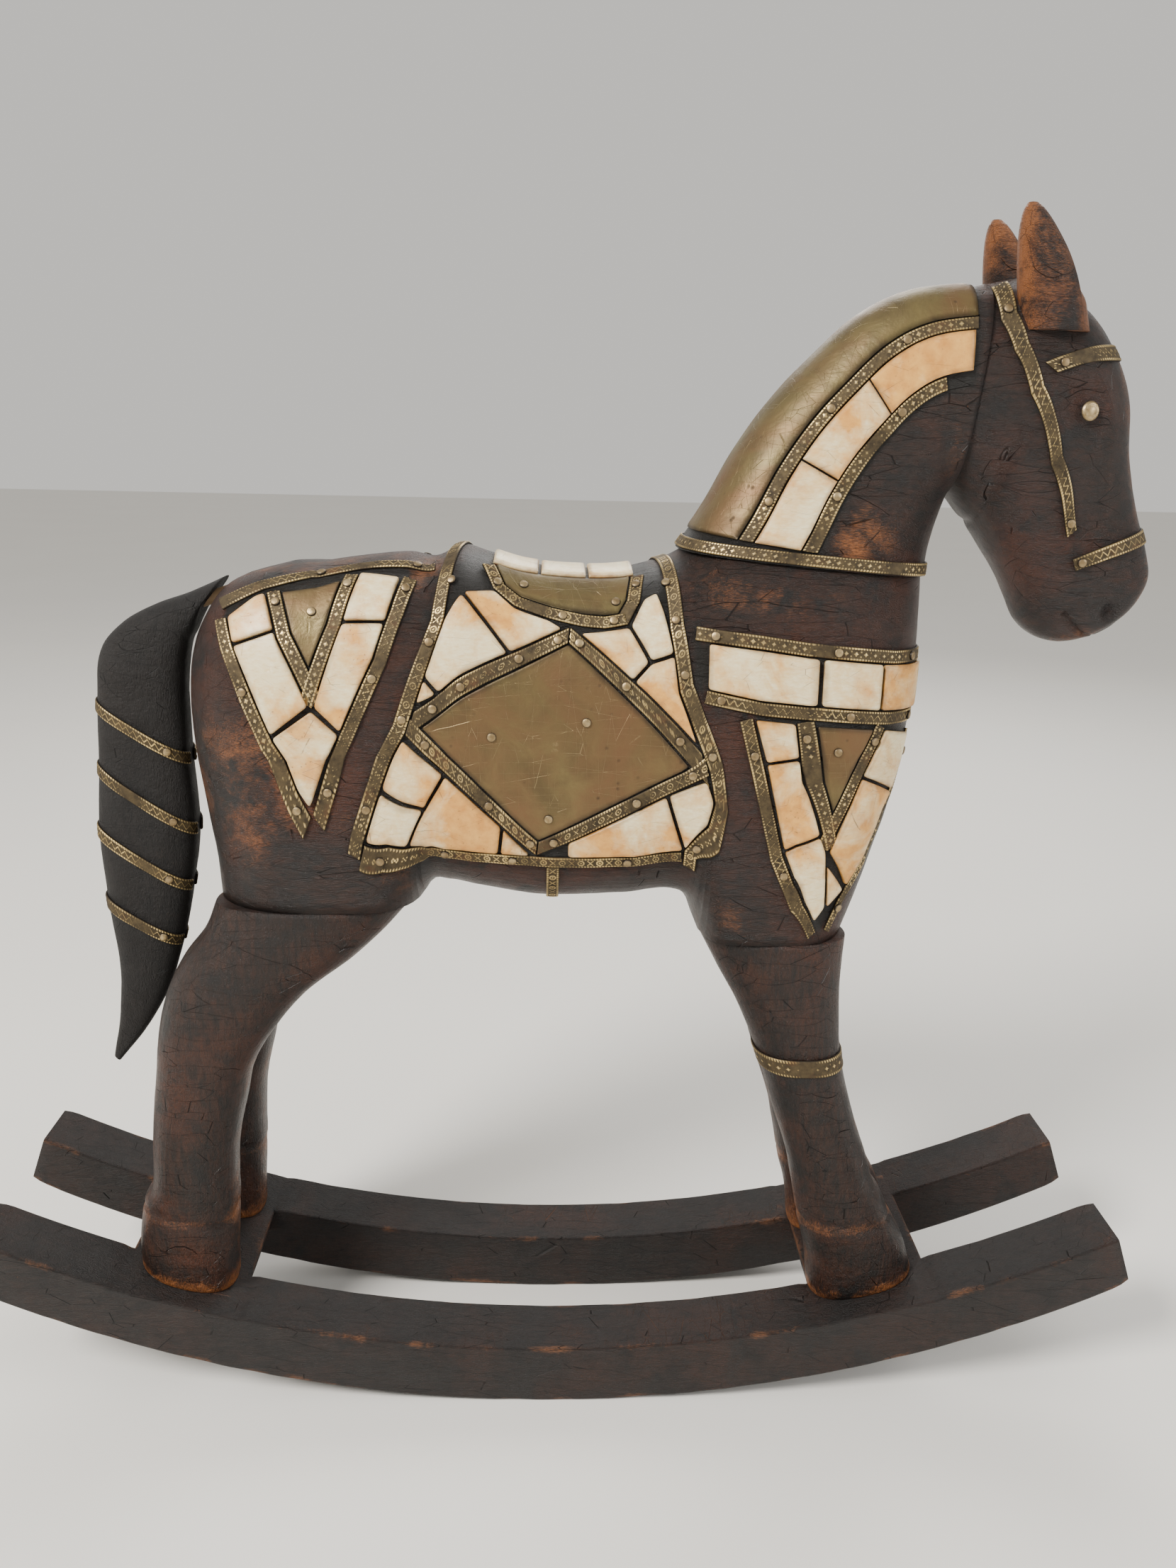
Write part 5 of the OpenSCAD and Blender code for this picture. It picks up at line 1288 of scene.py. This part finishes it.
SHOULDER_REAR = on_chest([[54.5, 64], [59, 48], [66, 22], [73.5, 6], [78, -3]])
SHOULDER_FRONT = on_chest([[81, -3], [84.5, 7], [91, 18.5], [96.5, 35], [101.5, 46.5], [103.5, 58]])
SHOULDER_V = on_chest([[67.5, 62.5], [71.5, 44], [79, 23.5], [88, 46], [94, 60.3]])
SHOULDER_TILES = [
    [[54.8, 64], [59, 50.5], [69.2, 52], [67.3, 62.7]],
    [[59, 50.5], [66, 23.5], [77, 28.5], [71.5, 44], [69.2, 52]],
    [[66, 23.5], [73.5, 7], [77, 0], [80, 5], [79, 23.5], [77, 28.5]],
    [[94.2, 60.2], [88, 46], [98.7, 40], [101.4, 47], [103.2, 57.6]],
    [[88, 46], [79.6, 23], [86, 11], [91, 19.5], [96.3, 35], [98.7, 40]],
    [[79, 20], [80.3, 4.5], [85.5, 10.5]]]
PLATE_EDGE = STRIP_W + TILE_GAP / 2


def shoulder_strips(parts):
    strip(parts, chest, SHOULDER_REAR, -STRIP_W, zigzag_pattern)
    strip(parts, chest, SHOULDER_FRONT, -STRIP_W, star_pattern)
    strip(parts, chest, SHOULDER_V, 0, star_pattern)


def shoulder_plate(parts):
    plate(parts, chest, SHOULDER_V, [PLATE_EDGE] * 4 + [TILE_GAP / 2], 0.5, 3.0, [(84, 52, 2, 0.3)])


def shoulder_bone(parts):
    for i, (cell, tint) in enumerate(zip(SHOULDER_TILES, (0.6, 0.55, 0.35, 0.3, 0.75, 0.5))):
        tile(parts, chest, on_chest(cell), tint, 11.0 + i)


single(chest_strap_upper, "chest_strap_upper", STRIP)
single(chest_strap_lower, "chest_strap_lower", STRIP)
single(chest_bone, "chest_bone", BONE)
both_hands(shoulder_strips, "shoulder_strips", STRIP)
both_hands(shoulder_plate, "shoulder_plate", SHEET)
both_hands(shoulder_bone, "shoulder_bone", BONE)

# the saddle
SADDLE_REAR = on_barrel([[-27, 104.5], [-33.5, 90], [-39, 74.5], [-44.5, 58.5], [-52, 41.5],
                         [-57.5, 25], [-58.5, 20]])
SADDLE_FRONT = on_barrel([[37, 18], [37, 23], [43.5, 31], [45, 38.5], [43, 48], [38, 60], [33.5, 71],
                          [30.5, 88], [26.5, 102]])
SADDLE_LOW = [[-57, 24.5], [-50, 23.8], [-44, 23.2], [-39, 22.7], [-33, 22.1], [-27.5, 21.5],
              [-9, 20.5], [10.5, 20], [22.5, 20.5], [36, 22.4]]
DIAMOND_TOP, DIAMOND_LOW = [2, 88], [-7, 20.8]
DIAMOND_REAR, DIAMOND_FRONT = [[-42, 64.5], [-44.6, 58]], [[42.9, 47], [40.5, 53.2]]


def arch(path):
    return np.concatenate([path, (path * [1, -1] + [0, OVER_TOP])[-2::-1]])


def saddle_border(parts):
    strip(parts, barrel, on_barrel(SADDLE_LOW), -STRIP_W, cross_pattern)
    parts.join(parts.mirrored())
    strip(parts, barrel, arch(SADDLE_REAR[::-1]), 0, cross_pattern)
    strip(parts, barrel, arch(SADDLE_FRONT), -STRIP_W, cross_pattern)


def to_barrel(p):
    return on_barrel([p])[0]


def cut_end(p, toward, cut, clear):
    """Where the strip's two edges meet the cut line at one end."""
    d = unit(toward - p)
    n = left_of(d)
    out = []
    for w in (0, STRIP_W):
        q = p + n * w
        c = cross(d, cut)
        k = 0 if abs(c) < 1e-6 else cross(p - q, cut) / c
        out.append(q + d * (k + clear))
    return out


def cut_strip(parts, face, a, b, cut_a, cut_b):
    clear = TILE_GAP / 4
    a0, a1 = cut_end(a, b, np.array(cut_a, float), clear)
    b0, b1 = cut_end(b, b + (b - a), np.array(cut_b, float), -clear)
    n = max(2, int(np.linalg.norm(b - a) / STRIP_STEP))
    t = np.linspace(0, 1, n)[:, None]
    ribbon(parts, face, a0 + (b0 - a0) * t, a1 + (b1 - a1) * t, cross_pattern)


def diamond_strips(parts):
    t, l = to_barrel(DIAMOND_TOP), to_barrel(DIAMOND_LOW)
    r, f = [to_barrel(p) for p in DIAMOND_REAR], [to_barrel(p) for p in DIAMOND_FRONT]

    def across(a, b, c):
        return left_of(unit(b - a)) + left_of(unit(c - b))
    turn = np.subtract(DIAMOND_REAR[1], DIAMOND_REAR[0])
    end = np.subtract(DIAMOND_FRONT[1], DIAMOND_FRONT[0])
    top, low = across(f[1], t, r[0]), across(r[1], l, f[0])
    cut_strip(parts, barrel, t, r[0], top, turn)
    cut_strip(parts, barrel, r[1], l, -turn, low)
    cut_strip(parts, barrel, l, f[0], low, end)
    cut_strip(parts, barrel, f[1], t, -end, top)


def meet(a, b, c, d):
    """Where the line from a to b meets the line from c to d."""
    return a + (b - a) * cross(c - a, d - c) / cross(b - a, d - c)


def saddle_plate(parts):
    t, r0, r1, l, f0, f1 = on_barrel([DIAMOND_TOP, *DIAMOND_REAR, DIAMOND_LOW, *DIAMOND_FRONT])
    four = np.array([t, meet(t, r0, r1, l), l, meet(l, f0, f1, t)])
    dents = [(-12, 58, 3, 0.35), (8, 48, 5, 0.3), (2, 70, 2, 0.25)]
    plate(parts, barrel, four, [PLATE_EDGE] * 4, 0.9, 6.0, dents)


SADDLE_TILES = [
    [[-39.3, 74.3], [-35, 69.5], [-15, 80.8], [-29, 97], [-33.5, 90]],
    [[-15, 80.8], [0.5, 87.5], [-4, 89.8], [-14, 93], [-20, 97.5], [-29, 97.3]],
    [[-39.3, 74.3], [-42, 66], [-35, 69.5]],
    [[-45.4, 57], [-52, 41.5], [-39.5, 35.5], [-33.5, 46.3]],
    [[-52, 41.5], [-57.3, 25], [-51, 24.1], [-45, 23.4], [-39.5, 35.5]],
    [[-39.5, 35.5], [-45, 23.4], [-40, 22.9], [-34, 22.3], [-18, 21], [-17, 30.3], [-33.5, 46.3]],
    [[-17, 30.3], [-18, 21], [-8, 20.6]],
    [[19, 88.4], [25, 79], [32, 81.5], [29, 93], [27, 97.5], [23, 95.5]],
    [[4, 86.6], [20, 73.5], [25, 79], [19, 88.4], [12, 87.3]],
    [[20, 73.5], [40.1, 53.8], [33.5, 71], [32, 81.5], [25, 79]],
    [[2, 25.2], [2, 20.2], [22.5, 20.7], [37, 23], [31, 40.8]],
    [[31, 40.8], [37, 23], [43.5, 31], [45, 38.5], [42.4, 45.6]]]
SADDLE_TINTS = [0.35, 0.5, 0.5, 0.75, 0.45, 0.7, 0.5, 0.5, 0.6, 0.8, 0.55, 0.4]


def saddle_bone(parts):
    for i, (cell, tint) in enumerate(zip(SADDLE_TILES, SADDLE_TINTS)):
        tile(parts, barrel, on_barrel(cell), tint, 21.0 + i)


FLAP_EDGE = on_barrel([[-23.5, 104], [-20, 98], [-14, 93.5], [-4, 90.2], [5, 88.3], [12, 87.8], [18.5, 89],
                       [22, 95], [23.5, 101.5]])
FLAP_TOP, FLAP_RUN = 75, 20
SEAT_CUTS, SEAT_GAP = [-21, -7, 7, 21], 0.8


def flap_strip(parts):
    strip(parts, barrel, FLAP_EDGE, 0, cross_pattern)


def lengthen(path):
    """The path run on a little at both ends."""
    a, b = unit(path[0] - path[1]), unit(path[-1] - path[-2])
    return np.concatenate([[path[0] + a * FLAP_RUN], path[1:-1], [path[-1] + b * FLAP_RUN]])


def saddle_flap(parts):
    top = math.radians(FLAP_TOP) * GIRTH_R
    low = stepped(beside(lengthen(FLAP_EDGE), STRIP_W + TILE_GAP / 2), 0.6)
    low = low[low[:, 1] < top - 1]
    grid_sheet(parts, barrel, low, level(low[:, 0], top), BRASS_T, 12, 4.0, 0.15, 0.15)


def seat_bone(parts):
    low = math.radians(FLAP_TOP) * GIRTH_R + SEAT_GAP
    for i, tint in enumerate((0.1, 0.05, 0.2)):
        x = np.linspace(SEAT_CUTS[i] + TILE_GAP / 2, SEAT_CUTS[i + 1] - TILE_GAP / 2, 26)
        grid_sheet(parts, barrel, level(x, low), level(x, OVER_TOP - low), BONE_T, 24, 9.0 + i, tint, 0.12)


GIRTH_X = -2


def girth_strap(parts):
    foot = to_barrel([GIRTH_X, straight(SADDLE_LOW, GIRTH_X)])[1]
    low = foot - STRIP_W - TILE_GAP / 2
    strip(parts, barrel, [[GIRTH_X, -OVER_TOP - low], [GIRTH_X, low]], -STRIP_W / 2, cross_pattern)


single(saddle_border, "saddle_border", STRIP)
both_hands(diamond_strips, "diamond_strips", STRIP)
both_hands(saddle_plate, "saddle_plate", SHEET)
both_hands(saddle_bone, "saddle_bone", BONE)
both_hands(flap_strip, "flap_strip", STRIP)
both_hands(saddle_flap, "saddle_flap", SHEET)
single(seat_bone, "seat_bone", BONE)
single(girth_strap, "girth_strap", STRIP)

# the haunch
HAUNCH_TOP = on_barrel([[-97, 90.5], [-85, 96.3], [-72, 99.5], [-58, 102], [-46, 102.8], [-37, 102.2]])
HAUNCH_REAR = on_barrel([[-95.5, 88.5], [-93, 81.5], [-87.5, 68.5], [-82, 55.5], [-75.5, 40.5], [-72, 33]])
HAUNCH_FRONT = on_barrel([[-71.3, 34], [-66, 50.5], [-59.5, 65], [-53, 79], [-48.5, 92], [-45.5, 100.5]])
HAUNCH_V = on_barrel([[-84, 95.5], [-80, 84], [-70.5, 65], [-62.5, 87.5], [-58.5, 100.5]])
HAUNCH_TILES = [
    [[-95, 88.7], [-93, 81.5], [-80.7, 86], [-84.2, 95.5], [-87, 94.6]],
    [[-93, 81.5], [-82.4, 56.5], [-70.9, 65.5], [-80, 84], [-80.7, 86]],
    [[-58, 101], [-62.2, 88.5], [-49.7, 88.8], [-46, 100.2]],
    [[-62.2, 88.5], [-70.3, 65.3], [-62.7, 57.7], [-53, 79], [-49.7, 88.8]],
    [[-70.6, 65], [-82.4, 56.5], [-75.5, 40.5], [-72, 34.5], [-66, 51], [-62.7, 57.7]]]


def haunch_strips(parts):
    strip(parts, barrel, HAUNCH_TOP, 0, zigzag_pattern)
    strip(parts, barrel, HAUNCH_REAR, -STRIP_W, star_pattern)
    strip(parts, barrel, HAUNCH_FRONT, -STRIP_W, zigzag_pattern)
    strip(parts, barrel, HAUNCH_V, 0, star_pattern)


def haunch_plate(parts):
    plate(parts, barrel, HAUNCH_V, [PLATE_EDGE] * 4 + [TILE_GAP / 2], 0.6, 12.0)


def haunch_bone(parts):
    for i, (cell, tint) in enumerate(zip(HAUNCH_TILES, (0.45, 0.25, 0.3, 0.35, 0.2))):
        tile(parts, barrel, on_barrel(cell), tint, 41.0 + i)


both_hands(haunch_strips, "haunch_strips", STRIP)
both_hands(haunch_plate, "haunch_plate", SHEET)
both_hands(haunch_bone, "haunch_bone", BONE)

LEG_BAND_H, LEG_BAND_W = 85, 6
LEG_BAND_ENDS = (-262, 82)
TAIL_BANDS = [5, 6, 7, 8]
TAIL_BAND_ENDS = (-84, 260)
TAIL_STEP = 20


def leg_bands(parts):
    a = np.linspace(*LEG_BAND_ENDS, 400)
    ribbon(parts, shin, level(a, LEG_BAND_H - LEG_BAND_W / 2), level(a, LEG_BAND_H + LEG_BAND_W / 2),
           star_pattern)


def tail_bands(parts):
    b = np.linspace(*TAIL_BAND_ENDS, 380)
    h = STRIP_W / 2 / TAIL_STEP
    for s in TAIL_BANDS:
        ribbon(parts, tail_round, level(b, s - h), level(b, s + h), zigzag_pattern)


# rows of pins: the strip's path, where its edge starts, and the pins' shares of its length
SADDLE_PINS = [
    (SADDLE_REAR, -STRIP_W, [0.12, 0.36, 0.64, 0.9]),
    (SADDLE_FRONT, -STRIP_W, [0.1, 0.4, 0.62, 0.78, 0.93]),
    (on_barrel(SADDLE_LOW), -STRIP_W, [0.06, 0.3, 0.5, 0.84]),
    (on_barrel([DIAMOND_TOP, DIAMOND_REAR[0]]), 0, [0.1, 0.35, 0.72, 0.9]),
    (on_barrel([DIAMOND_REAR[1], DIAMOND_LOW]), 0, [0.12, 0.6, 0.92]),
    (on_barrel([DIAMOND_LOW, DIAMOND_FRONT[0]]), 0, [0.12, 0.6, 0.92]),
    (on_barrel([DIAMOND_FRONT[1], DIAMOND_TOP]), 0, [0.14, 0.55, 0.9]),
    (FLAP_EDGE, 0, [0.12, 0.45, 0.68, 0.93])]
CHEST_PINS = [
    (STRAP_UPPER, 0, [0.06, 0.42, 0.75]),
    (STRAP_LOWER, 0, [0.05, 0.45, 0.78]),
    (SHOULDER_REAR, -STRIP_W, [0.15, 0.68]),
    (SHOULDER_FRONT, -STRIP_W, [0.12, 0.9]),
    (SHOULDER_V, 0, [0.07, 0.93])]
HAUNCH_PINS = [
    (HAUNCH_TOP, 0, [0.5, 0.92]),
    (HAUNCH_REAR, -STRIP_W, [0.4, 0.93]),
    (HAUNCH_FRONT, -STRIP_W, [0.08, 0.5, 0.93]),
    (HAUNCH_V, 0, [0.06, 0.94])]
SHEET_PINS = [[-11.5, 98.5], [15, 94.5], [-20, 57.5], [7, 62], [-3.5, 33], [-70.8, 91]]
SHOULDER_PIN = [80, 54]
NECK_PINS = [((BONE_LOW + STRIP_LOW) / 2, (2, 4.6)), ((BONE_TOP + MANE_LOW) / 2, (1.4, 3.4, 5.4))]
TAIL_PIN_TURN = -38


def brass_pins(parts):
    for row in SADDLE_PINS:
        strip_pins(parts, barrel, *row)
    for p in SHEET_PINS:
        pin(parts, barrel, to_barrel(p))
    for row in CHEST_PINS:
        strip_pins(parts, chest, *row)
    pin(parts, chest, on_chest([SHOULDER_PIN])[0])
    for row in HAUNCH_PINS:
        strip_pins(parts, barrel, *row)
    for f, places in NECK_PINS:
        for s in places:
            pin(parts, neck_round, [s, math.degrees(math.asin(f))])
    for s in TAIL_BANDS:
        pin(parts, tail_round, [TAIL_PIN_TURN, s])
    strip_pins(parts, cheek, CHEEK_PATH, -STRIP_W / 2, [0.1, 0.96])
    for path in (BROW, NOSE):
        pin(parts, head_round, band_point(path, np.float64(path[0] + BAND_PIN_TURN)))


single(leg_bands, "leg_bands", STRIP, True)
single(tail_bands, "tail_bands", STRIP)
single(brass_pins, "brass_pins", PINS, True)

for name in ("neck_dowel", "head_dowel", "tail_peg", "leg_dowels", "hoof_pegs", "slat_nails"):
    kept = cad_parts[name]
    kept.data.materials.clear()
    kept.data.materials.append(NAIL_IRON if name == "slat_nails" else DOWEL_WOOD)


# ---------- camera, floor and light ----------
def turned(yaw, pitch, roll):
    forward = Vector((math.sin(yaw) * math.cos(pitch), math.cos(yaw) * math.cos(pitch), -math.sin(pitch)))
    right = Vector((math.cos(yaw), -math.sin(yaw), 0))
    up = right.cross(forward)
    across = right * math.cos(roll) + up * math.sin(roll)
    above = up * math.cos(roll) - right * math.sin(roll)
    return Matrix((across, above, -forward)).transposed()


CAMERA_PLACE = (-0.0036, -0.3589, 0.3095)
CAMERA_YAW, CAMERA_PITCH, CAMERA_ROLL = 0.035, 0.285, 0.022
lens = bpy.data.cameras.new("front_view")
lens.sensor_width, lens.sensor_fit, lens.lens = 36, "HORIZONTAL", 36.02
camera = bpy.data.objects.new("front_view", lens)
facing = turned(CAMERA_YAW, CAMERA_PITCH, CAMERA_ROLL).to_4x4()
camera.matrix_world = Matrix.Translation(CAMERA_PLACE) @ facing
bpy.context.scene.collection.objects.link(camera)
bpy.context.scene.camera = camera


def area_light(name, place, toward, size, power, tone):
    data = bpy.data.lights.new(name, "AREA")
    data.shape, data.size, data.energy, data.color = "DISK", size, power, tone
    lamp = bpy.data.objects.new(name, data)
    lamp.location = place
    lamp.rotation_euler = (Vector(toward) - Vector(place)).to_track_quat("-Z", "Y").to_euler()
    bpy.context.scene.collection.objects.link(lamp)


area_light("key", (-0.75, -0.7, 1.05), (0, 0, 0.17), 0.4, 30, (1.0, 0.97, 0.92))
area_light("fill", (1.0, -0.6, 0.6), (0, 0, 0.17), 0.8, 7, (0.95, 0.97, 1.0))
area_light("back", (0.3, 0.9, 0.9), (0, 0, 0.2), 0.8, 8, (1.0, 0.98, 0.95))

floor_finish = Finish("plain_floor", Roughness=0.85)
floor_tone = floor_finish.noise(floor_finish.place, 4, 3)
floor_finish.set(Base_Color=floor_finish.mix(floor_tone, rgb(0.72, 0.70, 0.66), rgb(0.76, 0.74, 0.70)))
FLOOR = 6
floor_mesh = bpy.data.meshes.new("floor")
floor_mesh.from_pydata([(x * FLOOR, y * FLOOR, 0) for x, y in ((-1, -1), (1, -1), (1, 1), (-1, 1))], [],
                       [[0, 1, 2, 3]])
floor = bpy.data.objects.new("floor", floor_mesh)
floor_mesh.materials.append(floor_finish.material)
bpy.context.scene.collection.objects.link(floor)

world = bpy.data.worlds.new("room")
world.use_nodes = True
world.node_tree.nodes["Background"].inputs["Color"].default_value = rgb(0.84, 0.82, 0.78)
world.node_tree.nodes["Background"].inputs["Strength"].default_value = 0.85
bpy.context.scene.world = world
